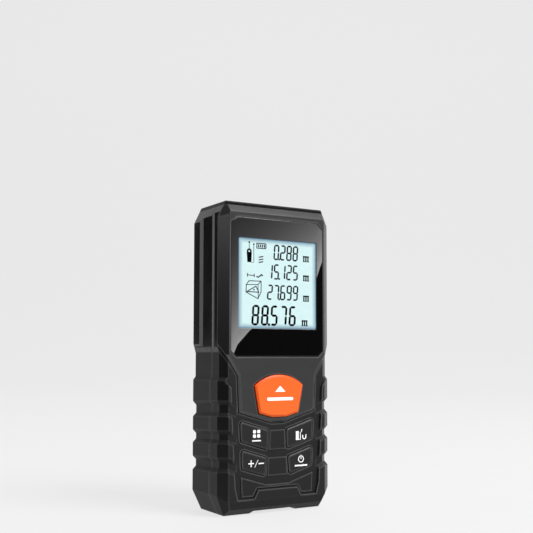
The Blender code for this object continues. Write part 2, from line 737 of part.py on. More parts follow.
def side_steps(name):
    """The long steps down both sides of the shells, as two tools."""
    beyond = HALF_WIDTH + 2 * MM
    low = GRIP_TOP - 2 * MM
    (first_depth, first), (second_depth, second) = SIDE_STEPS[:2]
    slope = (first_depth - second_depth) / (second - first)
    section = [(beyond, SIDE_STEPS[-1][0]), (beyond, first_depth + slope * 2 * MM)]
    section += [(HALF_WIDTH - sunk, d) for d, sunk in SIDE_STEPS]
    tools = []
    for side in (-1, 1):
        bm = bmesh.new()
        face = bm.faces.new([bm.verts.new((side * x, depth(d), low)) for x, d in section])
        top = bmesh.ops.extrude_face_region(bm, geom=[face])["geom"]
        verts = [v for v in top if isinstance(v, bmesh.types.BMVert)]
        bmesh.ops.translate(bm, verts=verts, vec=(0, 0, BODY_HEIGHT))
        tools.append(object_from(bm, f"{name} {side}"))
    return tools


# ---- Housing -----------------------------------------------------------------

def panel_region(name, outline, grown, edge):
    """All that lies inside an outline, with a sloping edge above the relief of the grip."""
    wide = moved_out(outline, grown)
    near = -1.0 * MM
    slope = edge * (RELIEF - near) / RELIEF
    region = tapered_solid(f"{name} edge", wide, near, RELIEF, -slope)
    deep = outline_solid(f"{name} depth", wide, RELIEF - 0.2 * MM, SEAM_DEPTH + 2 * MM)
    return region, deep


def front_shell():
    depths = (-1 * MM, SEAM_DEPTH - GAP / 2)
    shell = body_block("front blank", 0.0, depths, (-1 * MM, SHELL_TOP))
    region, deep = panel_region("front region", front_panel_outline(), 0.0, PANEL_EDGE_WIDTH)
    combine(shell, "INTERSECT", join(region, deep))
    join(shell, body_block("front core", CORE_INSET, depths, (-1 * MM, GRIP_TOP + 3 * MM)))
    cut(shell, *cavity("front cavity", LEDGE_DEPTH), *side_steps("front side steps"))
    window = moved_out(window_outline(), THIN_GAP)
    cut(shell, outline_solid("window pocket", window, -2 * MM, POCKET_DEPTH))
    view = rectangle(VIEW_HALF, *VIEW_Z)
    cut(shell, outline_solid("view hole", view, -1 * MM, LEDGE_DEPTH + 2 * MM))
    start = moved_out(start_outline(), KEY_GAP)
    cut(shell, outline_solid("start hole", start, -2 * MM, CAVITY_INSET + 1 * MM))
    for name, outline in keys():
        hole = moved_out(rounded(outline, KEY_CORNER), KEY_GAP)
        cut(shell, outline_solid(f"{name} core hole", hole, 0, CAVITY_INSET + 1 * MM))
    for i, (x, z) in enumerate(screw_places()):
        wall = CORE_INSET + 0.5 * MM if z < GRIP_TOP else LEDGE_DEPTH - 0.5 * MM
        join(shell, rod(f"front boss {i}", BOSS_RADIUS, wall, SEAM_DEPTH - GAP / 2, "Y", x, z))
        cut(shell, rod(f"front pilot {i}", SCREW_RADIUS + THIN_GAP, SCREW_REACH - 0.6 * MM,
                       SEAM_DEPTH + 1 * MM, "Y", x, z))
    for i, (x, z) in enumerate(board_screw_places()):
        join(shell, rod(f"board boss {i}", 1.7 * MM, CORE_INSET + 0.5 * MM,
                        BOARD_DEPTHS[0] - THIN_GAP, "Y", x, z))
        cut(shell, rod(f"board pilot {i}", BOARD_SCREW_RADIUS + THIN_GAP,
                       CAVITY_INSET + 0.5 * MM, SEAM_DEPTH, "Y", x, z))
    cut(shell, neck_hole())
    return finish(shell, "front_shell", "hard_plastic")


def front_grip():
    depths = (-1 * MM, SEAM_DEPTH - GAP / 2)
    grip = body_block("grip blank", 0.0, depths, (-1 * MM, GRIP_TOP + 2 * MM))
    cut(grip, body_block("grip inside", GRIP_SKIN))
    cut(grip, *panel_region("grip opening", front_panel_outline(), GAP, PANEL_EDGE_WIDTH))
    cut(grip, outline_solid("low front", lug_outline(), -2 * MM, RELIEF))
    join(grip, outline_solid("shield", shield_outline(), RELIEF - SHIELD_RAISE,
                             RELIEF + 0.4 * MM), *key_bosses())
    for name, outline in keys():
        hole = moved_out(rounded(outline, KEY_CORNER), KEY_GAP)
        cut(grip, outline_solid(f"{name} grip hole", hole, -1 * MM, CORE_INSET + 1 * MM))
    cut(grip, *grip_bands(), foot_recess())
    return finish(grip, "front_grip", "soft_grip")


def rear_shell():
    depths = (SEAM_DEPTH + GAP / 2, BODY_DEPTH + 1 * MM)
    shell = body_block("rear blank", 0.0, depths, (-1 * MM, SHELL_TOP))
    combine(shell, "INTERSECT", outline_solid("rear region", rear_panel_outline(), 0,
                                              BODY_DEPTH + 2 * MM))
    join(shell, body_block("rear core", CORE_INSET, depths, (-1 * MM, GRIP_TOP + 3 * MM)))
    cut(shell, *cavity("rear cavity", 0.0), *side_steps("rear side steps"))
    outer, inner = BAY_HALF + BAY_WALL, BAY_HALF
    join(shell, box("bay walls", (-outer, outer),
                    (BAY_FLOOR_DEPTH - BAY_WALL, BODY_DEPTH - 0.5 * MM),
                    (BAY_BOTTOM - BAY_WALL, BAY_TOP + BAY_WALL)))
    for i, (x, z) in enumerate(screw_places()):
        join(shell, rod(f"rear boss {i}", REAR_BOSS_RADIUS, SEAM_DEPTH + GAP / 2,
                        BODY_DEPTH - 1.0 * MM, "Y", x, z))
    posts = ear_places()
    for i, (x, z) in enumerate(posts):
        join(shell, rod(f"optics post {i}", 1.8 * MM, EAR_DEPTH + EAR[2] + THIN_GAP,
                        BODY_DEPTH - 1.0 * MM, "Y", x, z))
    cut(shell, box("bay room", (-inner, inner), (BAY_FLOOR_DEPTH, BODY_DEPTH + 1 * MM),
                   (BAY_BOTTOM, BAY_TOP)))
    half = COVER_HALF + THIN_GAP
    cut(shell, box("cover recess", (-half, half),
                   (BODY_DEPTH - COVER_THICKNESS - THIN_GAP, BODY_DEPTH + 1 * MM),
                   (COVER_Z[0] - THIN_GAP, COVER_Z[1] + THIN_GAP)))
    tab_half, tab_length, tab_thickness = COVER_TAB
    skin = BODY_DEPTH - COVER_THICKNESS + tab_thickness + THIN_GAP
    reach = math.hypot(COVER_THICKNESS, tab_length) + THIN_GAP
    for side in (-1, 1):
        x = side * COVER_TAB_X
        cut(shell, box(f"tab pocket {side}", (x - tab_half - GAP, x + tab_half + GAP),
                       (BODY_DEPTH - reach, skin),
                       (COVER_Z[1] - COVER_THICKNESS, COVER_Z[1] + reach)))
    for i, (x, z) in enumerate(screw_places()):
        cut(shell, rod(f"rear screw hole {i}", SCREW_RADIUS + THIN_GAP, SEAM_DEPTH - 1 * MM,
                       BODY_DEPTH + 1 * MM, "Y", x, z))
        cut(shell, rod(f"head hole {i}", HEAD_RADIUS + THIN_GAP, BODY_DEPTH - HEAD_SEAT_DEPTH,
                       BODY_DEPTH + 2 * MM, "Y", x, z))
    for i, (x, z) in enumerate(posts):
        cut(shell, rod(f"post pilot {i}", BOARD_SCREW_RADIUS + THIN_GAP,
                       EAR_DEPTH, BODY_DEPTH - 3 * MM, "Y", x, z))
    cut(shell, neck_hole())
    return finish(shell, "rear_shell", "hard_plastic")


def rear_grip():
    depths = (SEAM_DEPTH + GAP / 2, BODY_DEPTH + 1 * MM)
    grip = body_block("rear grip blank", 0.0, depths, (-1 * MM, GRIP_TOP + 6 * MM))
    cut(grip, body_block("rear grip inside", GRIP_SKIN))
    cut(grip, outline_solid("rear grip opening", moved_out(rear_panel_outline(), GAP), 0,
                            BODY_DEPTH + 2 * MM))
    cut(grip, *grip_bands(), foot_recess())
    return finish(grip, "rear_grip", "soft_grip")


def top_cap():
    plate = (BODY_HEIGHT - CAP_THICKNESS, BODY_HEIGHT + 1 * MM)
    cap = body_block("cap plate", 0.0, None, plate)
    half = HALF_WIDTH - NECK_MARGIN
    low = SHELL_TOP - NECK_LENGTH
    front, back = NECK_DEPTHS
    join(cap, box("neck", (-half, half), NECK_DEPTHS, (low, BODY_HEIGHT - 0.3 * MM)))
    cut(cap, box("neck room", (-half + NECK_WALL, half - NECK_WALL),
                 (front + NECK_WALL, back - NECK_WALL),
                 (low - 1 * MM, BODY_HEIGHT - GLASS_SEAT - NECK_WALL)))
    for name, x, radius in windows():
        cut(cap, rod(f"{name} seat", radius + THIN_GAP, BODY_HEIGHT - GLASS_SEAT,
                     BODY_HEIGHT + 1 * MM, "Z", x, OPTIC_DEPTH))
        cut(cap, rod(f"{name} hole", radius - GLASS_RIM, low, BODY_HEIGHT + 1 * MM,
                     "Z", x, OPTIC_DEPTH))
    return finish(cap, "top_cap", "hard_plastic")


def windows():
    """(name, x, radius) of the two glasses in the top cap."""
    return [("receiver_window", RECEIVER_X, RECEIVER_GLASS_RADIUS),
            ("emitter_window", EMITTER_X, EMITTER_GLASS_RADIUS)]


def cap_glasses():
    low = BODY_HEIGHT - GLASS_SEAT + THIN_GAP
    for (name, x, radius), finish_name in zip(windows(), ("optical_glass", "red_filter")):
        glass = rod(name, radius, low, low + GLASS_THICKNESS, "Z", x, OPTIC_DEPTH)
        finish(glass, name, finish_name)


# ---- Display -----------------------------------------------------------------

def display_window():
    pane = outline_solid("pane", window_outline(), *WINDOW_DEPTHS)
    return finish(pane, "display_window", "window_acrylic")


def window_tape():
    near = WINDOW_DEPTHS[1] + THIN_GAP
    tape = outline_solid("tape", moved_out(window_outline(), -0.3 * MM), near,
                         near + TAPE_THICKNESS)
    low, high = VIEW_Z
    cut(tape, outline_solid("tape hole", rectangle(VIEW_HALF, low, high), 0, 5 * MM))
    return finish(tape, "window_tape", "foam")


def guide_outline(grown=0.0):
    """The light guide reaches past the view hole, under the ledge of the shell."""
    side, below, above = GUIDE_OVERLAP
    return rectangle(VIEW_HALF + side + grown, VIEW_Z[0] - below - grown,
                     VIEW_Z[1] + above + grown)


def lcd_panel():
    outline = rectangle(VIEW_HALF - THIN_GAP, VIEW_Z[0] + THIN_GAP, VIEW_Z[1] - THIN_GAP)
    panel = outline_solid("lcd", outline, LCD_DEPTH, LCD_DEPTH + LCD_THICKNESS)
    return finish(panel, "lcd_panel", "display_glass")


def light_guide():
    guide = outline_solid("guide", guide_outline(), BACKLIGHT_DEPTH,
                          BACKLIGHT_DEPTH + BACKLIGHT_THICKNESS)
    return finish(guide, "light_guide", "light_guide")


def display_frame():
    outer = guide_outline(THIN_GAP + DISPLAY_FRAME_WALL)
    frame = outline_solid("frame", outer, LEDGE_DEPTH + THIN_GAP, BOARD_DEPTHS[0] - THIN_GAP)
    cut(frame, outline_solid("frame room", guide_outline(THIN_GAP), 0, BODY_DEPTH))
    return finish(frame, "display_frame", "white_plastic")


# ---- Keys --------------------------------------------------------------------

def set_origin(obj, place):
    """Puts the object's origin at this point, without moving its shape."""
    shift = Matrix.Translation(-Vector(place))
    obj.data.transform(shift)
    obj.location = place


def key_body(name, outline, face_depth, crown, plunger):
    """A key with a flange that keeps it in, and a plunger that presses its switch."""
    x, z = centre_of(outline)
    edge = KEY_FLANGE_DEPTH + KEY_FLANGE[1] / 2
    cap = outline_solid(f"{name} blank", outline, face_depth + crown, edge)
    join(cap, tapered_solid(f"{name} crown", outline, face_depth,
                            face_depth + crown + 0.1 * MM, -crown * 1.2))
    flange = moved_out(outline, KEY_GAP + KEY_FLANGE[0])
    join(cap, outline_solid(f"{name} flange", flange, KEY_FLANGE_DEPTH,
                            KEY_FLANGE_DEPTH + KEY_FLANGE[1]))
    join(cap, rod(f"{name} plunger", plunger, edge, PLUNGER_END, "Y", x, z))
    return cap


def key_parts():
    start = start_outline()
    key = key_body("start_key", start, -START_PROUD, START_CROWN, START_PLUNGER_RADIUS)
    finish(key, "start_key", "start_orange")
    places = {"start_key": centre_of(start)}
    set_origin(key, (places["start_key"][0], depth(0), places["start_key"][1]))
    for name, outline in keys():
        shape = rounded(outline, KEY_CORNER)
        key = key_body(name, shape, KEY_FACE_DEPTH, 0.3 * MM, PLUNGER_RADIUS)
        finish(key, name, "key_rubber")
        places[name] = centre_of(shape)
        set_origin(key, (places[name][0], depth(0), places[name][1]))
    for name, (x, z) in places.items():
        radius = PLUNGER_RADIUS + 0.3 * MM
        back = BOARD_DEPTHS[0] - THIN_GAP
        dome = rod(f"{name} dome", radius, back - DOME_HEIGHT, back, "Y", x, z,
                   low_radius=radius * 0.55)
        finish(dome, f"{name.removesuffix('_key')}_switch", "steel")


# ---- Boards ------------------------------------------------------------------

def main_board():
    half = HALF_WIDTH - BOARD_MARGIN
    board = box("board", (-half, half), BOARD_DEPTHS, BOARD_Z)
    for i, (x, z) in enumerate(screw_places()):
        if z < BOARD_Z[1] - BOSS_RADIUS:
            cut(board, rod(f"board boss hole {i}", REAR_BOSS_RADIUS + GAP, 0, BODY_DEPTH,
                           "Y", x, z))
    for i, (x, z) in enumerate(board_screw_places()):
        cut(board, rod(f"board screw hole {i}", BOARD_SCREW_RADIUS + THIN_GAP, 0, BODY_DEPTH,
                       "Y", x, z))
    return finish(board, "main_board", "board_green")


def small_screw(name, x, z, seat, tip, toward_back):
    """A screw along Y: seat is the depth of the head's underside."""
    sign = -1 if toward_back else 1
    low, high = sorted((seat, seat + sign * 0.9 * MM))
    screw = rod(f"{name} head", 1.5 * MM, low, high, "Y", x, z)
    start, end = sorted((seat + sign * 0.2 * MM, tip))
    join(screw, rod(f"{name} shank", BOARD_SCREW_RADIUS, start, end, "Y", x, z, 16))
    return finish(screw, name, "steel")


def housing_screw(name, x, z):
    seat = BODY_DEPTH - HEAD_SEAT_DEPTH + THIN_GAP
    screw = rod(f"{name} head", HEAD_RADIUS, seat, seat + HEAD_HEIGHT, "Y", x, z)
    join(screw, rod(f"{name} shank", SCREW_RADIUS, SCREW_REACH, seat + 0.2 * MM, "Y", x, z, 16))
    cut(screw, rod(f"{name} socket", 0.8 * MM, seat + HEAD_HEIGHT - 0.8 * MM, BODY_DEPTH,
                   "Y", x, z, 6))
    return finish(screw, name, "steel")


def screws():
    sides = ("left", "right")
    for i, (x, z) in enumerate(screw_places()):
        height = "upper" if z > GRIP_TOP else "lower"
        housing_screw(f"{height}_{sides[i % 2]}_screw", x, z)
    for side, (x, z) in zip(sides, board_screw_places()):
        small_screw(f"board_{side}_screw", x, z, BOARD_DEPTHS[1] + THIN_GAP,
                    CAVITY_INSET + 0.9 * MM, False)
    for side, (x, z) in zip(sides, ear_places()):
        small_screw(f"optics_{side}_screw", x, z, EAR_DEPTH - THIN_GAP,
                    EAR_DEPTH + 5 * MM, True)


def board_parts():
    near = BOARD_DEPTHS[1] + THIN_GAP
    chip = box("chip", (-13 * MM, -6 * MM), (near, near + 1.0 * MM),
               (BAY_TOP + 3 * MM, BAY_TOP + 10 * MM))
    finish(chip, "processor", "black_epoxy")
    buzzer = rod("buzzer blank", 3.9 * MM, near, near + 2.2 * MM, "Y", 8 * MM,
                 BAY_TOP + 6 * MM)
    cut(buzzer, rod("buzzer hole", 0.6 * MM, near + 1.2 * MM, near + 5 * MM, "Y", 8 * MM,
                    BAY_TOP + 6 * MM, 12))
    finish(buzzer, "buzzer", "black_epoxy")


# ---- Optics ------------------------------------------------------------------

def optics_sides():
    return (RECEIVER_X - LENS_RADIUS - THIN_GAP - OPTICS_WALL,
            EMITTER_X + TUBE_RADIUS + THIN_GAP + OPTICS_WALL)


def ear_places():
    left, right = optics_sides()
    return [(left - EAR[0], EAR_Z), (right + EAR[0], EAR_Z)]


def optics_frame():
    low = OPTICS_TOP - OPTICS_HEIGHT
    left, right = optics_sides()
    front, back = OPTIC_DEPTH - OPTICS_HALF_DEPTH, OPTIC_DEPTH + OPTICS_HALF_DEPTH
    frame = box("optics block", (left, right), (front, back), (low, OPTICS_TOP))
    ears = ear_places()
    for i, (x, z) in enumerate(ears):
        inward = EAR[0] + 1 * MM
        spread = (x - EAR[1], x + inward) if x < 0 else (x - inward, x + EAR[1])
        join(frame, box(f"ear {i}", spread, (EAR_DEPTH, EAR_DEPTH + EAR[2]),
                        (z - 3 * MM, z + 3 * MM)))
        cut(frame, rod(f"ear hole {i}", BOARD_SCREW_RADIUS + THIN_GAP, 0, BODY_DEPTH,
                       "Y", x, z, 16))
    seat = OPTICS_TOP - LENS_HEIGHT - 1 * MM
    cut(frame, rod("lens seat", LENS_RADIUS + THIN_GAP, seat, OPTICS_TOP + 1 * MM, "Z",
                   RECEIVER_X, OPTIC_DEPTH))
    cut(frame, rod("light cone", LENS_RADIUS - 0.8 * MM, low + 2 * MM, seat + 0.5 * MM, "Z",
                   RECEIVER_X, OPTIC_DEPTH, low_radius=SENSOR_RADIUS - 0.4 * MM))
    cut(frame, rod("sensor seat", SENSOR_RADIUS + THIN_GAP, low - 1 * MM, low + 2.4 * MM, "Z",
                   RECEIVER_X, OPTIC_DEPTH))
    shelf = OPTICS_TOP - 0.5 * MM - TUBE_LENGTH - THIN_GAP
    cut(frame, rod("barrel seat", TUBE_RADIUS + THIN_GAP, shelf, OPTICS_TOP + 1 * MM, "Z",
                   EMITTER_X, OPTIC_DEPTH))
    cut(frame, rod("wire way", TUBE_RADIUS - TUBE_WALL, low - 1 * MM, shelf + 1 * MM, "Z",
                   EMITTER_X, OPTIC_DEPTH))
    cut(frame, box("frame relief", (EMITTER_X - 3 * MM, right + 1 * MM),
                   (front - 1 * MM, OPTIC_DEPTH - TUBE_RADIUS - 1.5 * MM),
                   (low - 1 * MM, OPTICS_TOP + 1 * MM)))
    return finish(frame, "optics_frame", "cast_metal")


def shifted(obj, x):
    """Moves a turned shape onto an optical axis, keeping its own axis at its origin."""
    obj.location = (x, depth(OPTIC_DEPTH), 0)
    return obj


def receiver_lens():
    low = OPTICS_TOP - LENS_HEIGHT - 1 * MM + THIN_GAP
    edge = low + 0.4 * LENS_HEIGHT
    profile = [(0.0, low + LENS_HEIGHT)]
    for step in range(1, 6):
        angle = math.radians(90) * step / 5
        profile.append((LENS_RADIUS * math.sin(angle),
                        edge + (low + LENS_HEIGHT - edge) * math.cos(angle)))
    profile += [(LENS_RADIUS, low), (0.0, low)]
    lens = shifted(turned("lens", profile), RECEIVER_X)
    return finish(lens, "receiver_lens", "optical_glass")


def laser_parts():
    top = OPTICS_TOP - 0.5 * MM
    low = top - TUBE_LENGTH
    barrel = rod("barrel blank", TUBE_RADIUS, low, top, "Z", EMITTER_X, OPTIC_DEPTH)
    inner = TUBE_RADIUS - TUBE_WALL
    cut(barrel, rod("barrel bore", inner, low - 1 * MM, top + 1 * MM, "Z", EMITTER_X,
                    OPTIC_DEPTH))
    finish(barrel, "laser_barrel", "brass")
    radius = inner - THIN_GAP
    diode = turned("diode", [(0.0, low + 4.0 * MM), (radius * 0.7, low + 4.0 * MM),
                             (radius * 0.7, low + 1.2 * MM), (radius, low + 1.2 * MM),
                             (radius, low), (0.0, low)], 20)
    finish(shifted(diode, EMITTER_X), "laser_diode", "brass")
    lens = rod("collimator blank", radius, top - 4 * MM, top - 2 * MM, "Z", EMITTER_X,
               OPTIC_DEPTH, 20)
    finish(lens, "collimator_lens", "optical_glass")


def receiver_parts():
    low = OPTICS_TOP - OPTICS_HEIGHT
    board = box("receiver board blank", (RECEIVER_X - 5.5 * MM, RECEIVER_X + 5.5 * MM),
                (OPTIC_DEPTH - 4.5 * MM, OPTIC_DEPTH + 4.5 * MM),
                (low - THIN_GAP - 1.0 * MM, low - THIN_GAP))
    finish(board, "receiver_board", "board_green")
    sensor = rod("sensor blank", SENSOR_RADIUS, low, low + 1.8 * MM, "Z", RECEIVER_X,
                 OPTIC_DEPTH, 20)
    finish(sensor, "receiver_sensor", "steel")


# ---- Power -------------------------------------------------------------------

def cell(name, x, nub_up):
    bottom = BAY_BOTTOM + THIN_GAP + CONTACT_THICKNESS + THIN_GAP
    nub_radius, nub_height = CELL_NUB
    low = bottom + (SPRING_LENGTH if nub_up else nub_height)
    high = low + CELL_BODY
    rim = CELL_RADIUS - 0.5 * MM
    profile = [(rim, high), (CELL_RADIUS, high - 0.5 * MM), (CELL_RADIUS, low + 0.5 * MM),
               (rim, low)]
    if nub_up:
        profile = [(0.0, high + nub_height), (nub_radius, high + nub_height),
                   (nub_radius, high), *profile, (0.0, low)]
    else:
        profile = [(0.0, high), *profile, (nub_radius, low), (nub_radius, low - nub_height),
                   (0.0, low - nub_height)]
    body = turned(f"{name} blank", profile)
    body.location = (x, depth(CELL_DEPTH), 0)
    return finish(body, name, "cell_sleeve")


def coil(name, x, start, length, upward):
    """A tapering coil of round wire, made a mesh."""
    curve = bpy.data.curves.new(name, "CURVE")
    curve.dimensions = "3D"
    curve.bevel_depth = SPRING_WIRE
    curve.bevel_resolution = 1
    curve.use_fill_caps = True
    count, turns = 34, 2.75
    spline = curve.splines.new("POLY")
    spline.points.add(count - 1)
    for i, point in enumerate(spline.points):
        part = i / (count - 1)
        angle = 2 * math.pi * turns * part
        radius = (3.3 - 1.3 * part) * MM
        rise = length * part * (1 if upward else -1)
        point.co = (x + radius * math.cos(angle), depth(CELL_DEPTH) + radius * math.sin(angle),
                    start + rise, 1)
    drawn = bpy.data.objects.new(name, curve)
    bpy.data.collections["cutters"].objects.link(drawn)
    bpy.context.view_layer.update()
    graph = bpy.context.evaluated_depsgraph_get()
    mesh = bpy.data.meshes.new_from_object(drawn.evaluated_get(graph))
    bm = bmesh.new()
    bm.from_mesh(mesh)
    bmesh.ops.remove_doubles(bm, verts=bm.verts, dist=1e-6)
    bpy.data.objects.remove(drawn)
    bpy.data.curves.remove(curve)
    bpy.data.meshes.remove(mesh)
    return object_from(bm, name)


def contact_plate(name, x, low, high_x=None):
    half = CELL_RADIUS - 0.6 * MM
    spread = (x - half, (x if high_x is None else high_x) + half)
    return box(name, spread, (CELL_DEPTH - 4.2 * MM, CELL_DEPTH + 4.2 * MM),
               (low, low + CONTACT_THICKNESS))


def battery_contacts():
    low = BAY_BOTTOM + THIN_GAP
    high = BAY_TOP - 2 * THIN_GAP - CONTACT_THICKNESS
    wire = SPRING_LENGTH - SPRING_WIRE
    link = contact_plate("link plate", -CELL_X, low, CELL_X)
    join(link, coil("link coil", -CELL_X, low + CONTACT_THICKNESS, wire - THIN_GAP, True))
    finish(link, "link_contact", "steel")
    finish(contact_plate("plus plate", -CELL_X, high), "plus_contact", "steel")
    minus = contact_plate("minus plate", CELL_X, high)
    join(minus, coil("minus coil", CELL_X, high, wire - THIN_GAP, False))
    finish(minus, "minus_contact", "steel")


def battery_cover():
    near = BODY_DEPTH - COVER_THICKNESS
    cover = box("cover blank", (-COVER_HALF, COVER_HALF), (near, BODY_DEPTH), COVER_Z)
    tab_half, tab_length, tab_thickness = COVER_TAB
    for side in (-1, 1):
        x = side * COVER_TAB_X
        join(cover, box(f"cover tab {side}", (x - tab_half, x + tab_half),
                        (near, near + tab_thickness),
                        (COVER_Z[1] - 2 * MM, COVER_Z[1] + tab_length)))
    for i in range(RIB_COUNT):
        z = COVER_Z[0] + 3 * MM + i * RIB_PITCH
        cut(cover, box(f"cover groove {i}", (-5 * MM, 5 * MM),
                       (BODY_DEPTH - 0.4 * MM, BODY_DEPTH + 1 * MM), (z, z + RIB_PITCH / 2)))
    finish(cover, "battery_cover", "hard_plastic")
    set_origin(cover, (0, depth(BODY_DEPTH), COVER_Z[1]))
    back = near - THIN_GAP
    foam = box("foam blank", (-8 * MM, 8 * MM), (back - FOAM_THICKNESS, back),
               (COVER_Z[0] + 13 * MM, COVER_Z[1] - 13 * MM))
    finish(foam, "cover_foam", "foam")
    set_origin(foam, (0, depth(BODY_DEPTH), COVER_Z[1]))


def main():
    for old in list(bpy.data.objects):
        bpy.data.objects.remove(old)
    scene = bpy.context.scene.collection
    for name in ("laser_distance_meter", "cutters"):
        scene.children.link(bpy.data.collections.new(name))
    bpy.data.collections["cutters"].hide_render = True
    front_shell()
    front_grip()
    rear_shell()
    rear_grip()
    top_cap()
    cap_glasses()
    display_window()
    window_tape()
    lcd_panel()
    light_guide()
    display_frame()
    key_parts()
    main_board()
    board_parts()
    screws()
    optics_frame()
    receiver_lens()
    receiver_parts()
    laser_parts()
    cell("left_cell", -CELL_X, True)
    cell("right_cell", CELL_X, False)
    battery_contacts()
    battery_cover()


main()
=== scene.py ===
"""Looks of a handheld laser distance meter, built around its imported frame.

Run as a script. It is laid out as an add-on: the sizes and colours that a user
would change are properties, and each piece or group of like pieces is an operator.
"""

import json
import math

import bpy
from bpy.props import FloatProperty, FloatVectorProperty, PointerProperty
from mathutils import Matrix, Vector

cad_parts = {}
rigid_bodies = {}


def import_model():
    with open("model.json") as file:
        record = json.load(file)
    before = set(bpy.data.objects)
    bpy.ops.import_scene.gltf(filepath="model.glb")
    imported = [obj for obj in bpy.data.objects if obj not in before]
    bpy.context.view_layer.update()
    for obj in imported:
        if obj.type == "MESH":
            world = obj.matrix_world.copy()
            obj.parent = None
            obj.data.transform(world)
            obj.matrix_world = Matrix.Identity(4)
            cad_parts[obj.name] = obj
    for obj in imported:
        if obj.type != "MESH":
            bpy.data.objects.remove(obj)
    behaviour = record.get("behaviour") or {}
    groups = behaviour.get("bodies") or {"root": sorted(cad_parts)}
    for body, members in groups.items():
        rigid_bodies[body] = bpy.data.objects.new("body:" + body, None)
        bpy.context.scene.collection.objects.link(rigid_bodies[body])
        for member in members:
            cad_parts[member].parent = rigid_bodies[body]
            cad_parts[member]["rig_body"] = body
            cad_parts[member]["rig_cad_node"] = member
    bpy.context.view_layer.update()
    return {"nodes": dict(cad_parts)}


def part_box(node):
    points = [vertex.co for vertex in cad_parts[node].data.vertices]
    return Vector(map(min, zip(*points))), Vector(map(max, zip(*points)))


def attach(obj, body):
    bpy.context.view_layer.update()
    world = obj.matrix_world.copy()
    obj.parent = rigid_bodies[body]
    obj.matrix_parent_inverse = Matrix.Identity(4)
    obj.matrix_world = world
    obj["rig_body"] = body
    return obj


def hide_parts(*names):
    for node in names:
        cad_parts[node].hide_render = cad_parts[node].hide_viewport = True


bl_info = {
    "name": "Laser distance meter",
    "version": (1, 0, 0),
    "blender": (4, 5, 0),
    "location": "View3D > Sidebar > Meter",
    "description": "Moulded casing, lit display, keys and studio of a distance meter",
    "category": "Object",
}

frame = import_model()
NODES = frame["nodes"]
MM = 0.001

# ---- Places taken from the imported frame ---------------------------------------
FRONT_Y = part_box("front_shell")[0].y
WINDOW_LOW, WINDOW_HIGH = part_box("display_window")
LCD_LOW, LCD_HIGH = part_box("lcd_panel")
START_FACE_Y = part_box("start_key")[0].y
KEY_FACE_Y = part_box("function_key")[0].y

# ---- Display ------------------------------------------------------------------
PANE_DEPTH = 0.30 * MM
MARK_DEPTH = 0.05 * MM
VIEW_LEFT, VIEW_RIGHT = -16.45 * MM, 16.85 * MM
VIEW_LOW, VIEW_HIGH = 66.25 * MM, 98.75 * MM
DISPLAY_FACE_Y = WINDOW_LOW.y + PANE_DEPTH + 2 * MARK_DEPTH
WINDOW_CHAMFERS = (2.0 * MM, 2.4 * MM)

# ---- End cap: its plate, and the groove that is left open along its front ------
CAP_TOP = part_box("top_cap")[1].z
CAP_PLATE = 0.7 * MM
GROOVE_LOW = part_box("front_shell")[1].z + 0.03 * MM
GROOVE_SUNK = 0.8 * MM

SEGMENT_PLACES = {
    "a": (0.5, 1.0, False), "b": (1.0, 0.75, True), "c": (1.0, 0.25, True),
    "d": (0.5, 0.0, False), "e": (0.0, 0.25, True), "f": (0.0, 0.75, True),
    "g": (0.5, 0.5, False),
}
SEGMENTS_LIT = {
    "0": "abcdef", "1": "bc", "2": "abged", "5": "afgcd", "6": "afgedc",
    "7": "abc", "8": "abcdefg", "9": "abfgcd",
}
# Each reading: its digits, the digit that the point follows, left edge, base height,
# digit width, height, pitch and stroke, and the lower left corner of its unit.
READINGS = (
    ("0288", 0, -1.90, 91.35, 2.30, 5.70, 2.74, 0.60, (11.05, 91.35)),
    ("15125", 1, -4.65, 84.15, 2.30, 5.70, 2.74, 0.60, (11.05, 84.10)),
    ("27699", 1, -4.65, 76.65, 2.30, 5.60, 2.74, 0.60, (11.05, 76.50)),
    ("88576", 1, -11.15, 67.20, 3.05, 7.45, 3.93, 0.84, (10.40, 67.30)),
)


# ---- Properties ----------------------------------------------------------------

def colour_property(name, description, default):
    return FloatVectorProperty(name=name, description=description, subtype="COLOR",
                               size=3, min=0.0, max=1.0, default=default)


def length_property(name, description, default):
    return FloatProperty(name=name, description=description, unit="LENGTH",
                         min=0.0, soft_max=10 * default, precision=5, default=default)


class MeterColours(bpy.types.PropertyGroup):
    casing: colour_property("Casing", "Hard moulded casing", (0.009, 0.009, 0.0095))
    grip: colour_property("Grip", "Soft overmoulded grip", (0.010, 0.010, 0.0104))
    key: colour_property("Key", "Rubber of the four small keys", (0.011, 0.011, 0.0115))
    start: colour_property("Measuring key", "Face of the large key", (0.78, 0.122, 0.008))
    # The flanks' deeper red is painted shade.
    start_side_shade: colour_property("Measuring key side", "Flanks of the large key",
                                (0.80, 0.055, 0.008))
    sign: colour_property("Signs", "Signs printed on the keys", (0.93, 0.93, 0.93))
    display: colour_property("Display", "Middle of the lit display", (0.74, 0.94, 0.94))
    display_edge: colour_property("Display edge", "Rim of the lit display",
                                  (0.07, 0.20, 0.33))
    stage: colour_property("Stage", "Floor and backdrop", (0.13, 0.13, 0.13))


class MeterSizes(bpy.types.PropertyGroup):
    edge_radius: length_property("Edge radius", "Rounding of the moulded edges", 0.0001)
    key_edge_radius: length_property("Key edge radius", "Rounding of the keys' rims", 0.0002)
    window_edge: length_property("Window edge", "Polished edge of the window", 0.00018)
    sign_height: length_property("Sign height", "Thickness of the printed signs", 0.00004)
    digit_slant: FloatProperty(name="Digit slant", description="Lean of the digits",
                               subtype="ANGLE", default=math.radians(4.0))
    grain_depth: length_property("Grain depth", "Depth of the moulded grain", 0.000012)
    grip_grain_depth: length_property("Grip grain depth", "Depth of the grip's grain",
                                      0.00002)


def colours():
    return bpy.context.scene.meter_colours


def sizes():
    return bpy.context.scene.meter_sizes


# ---- Modelling helpers -----------------------------------------------------------

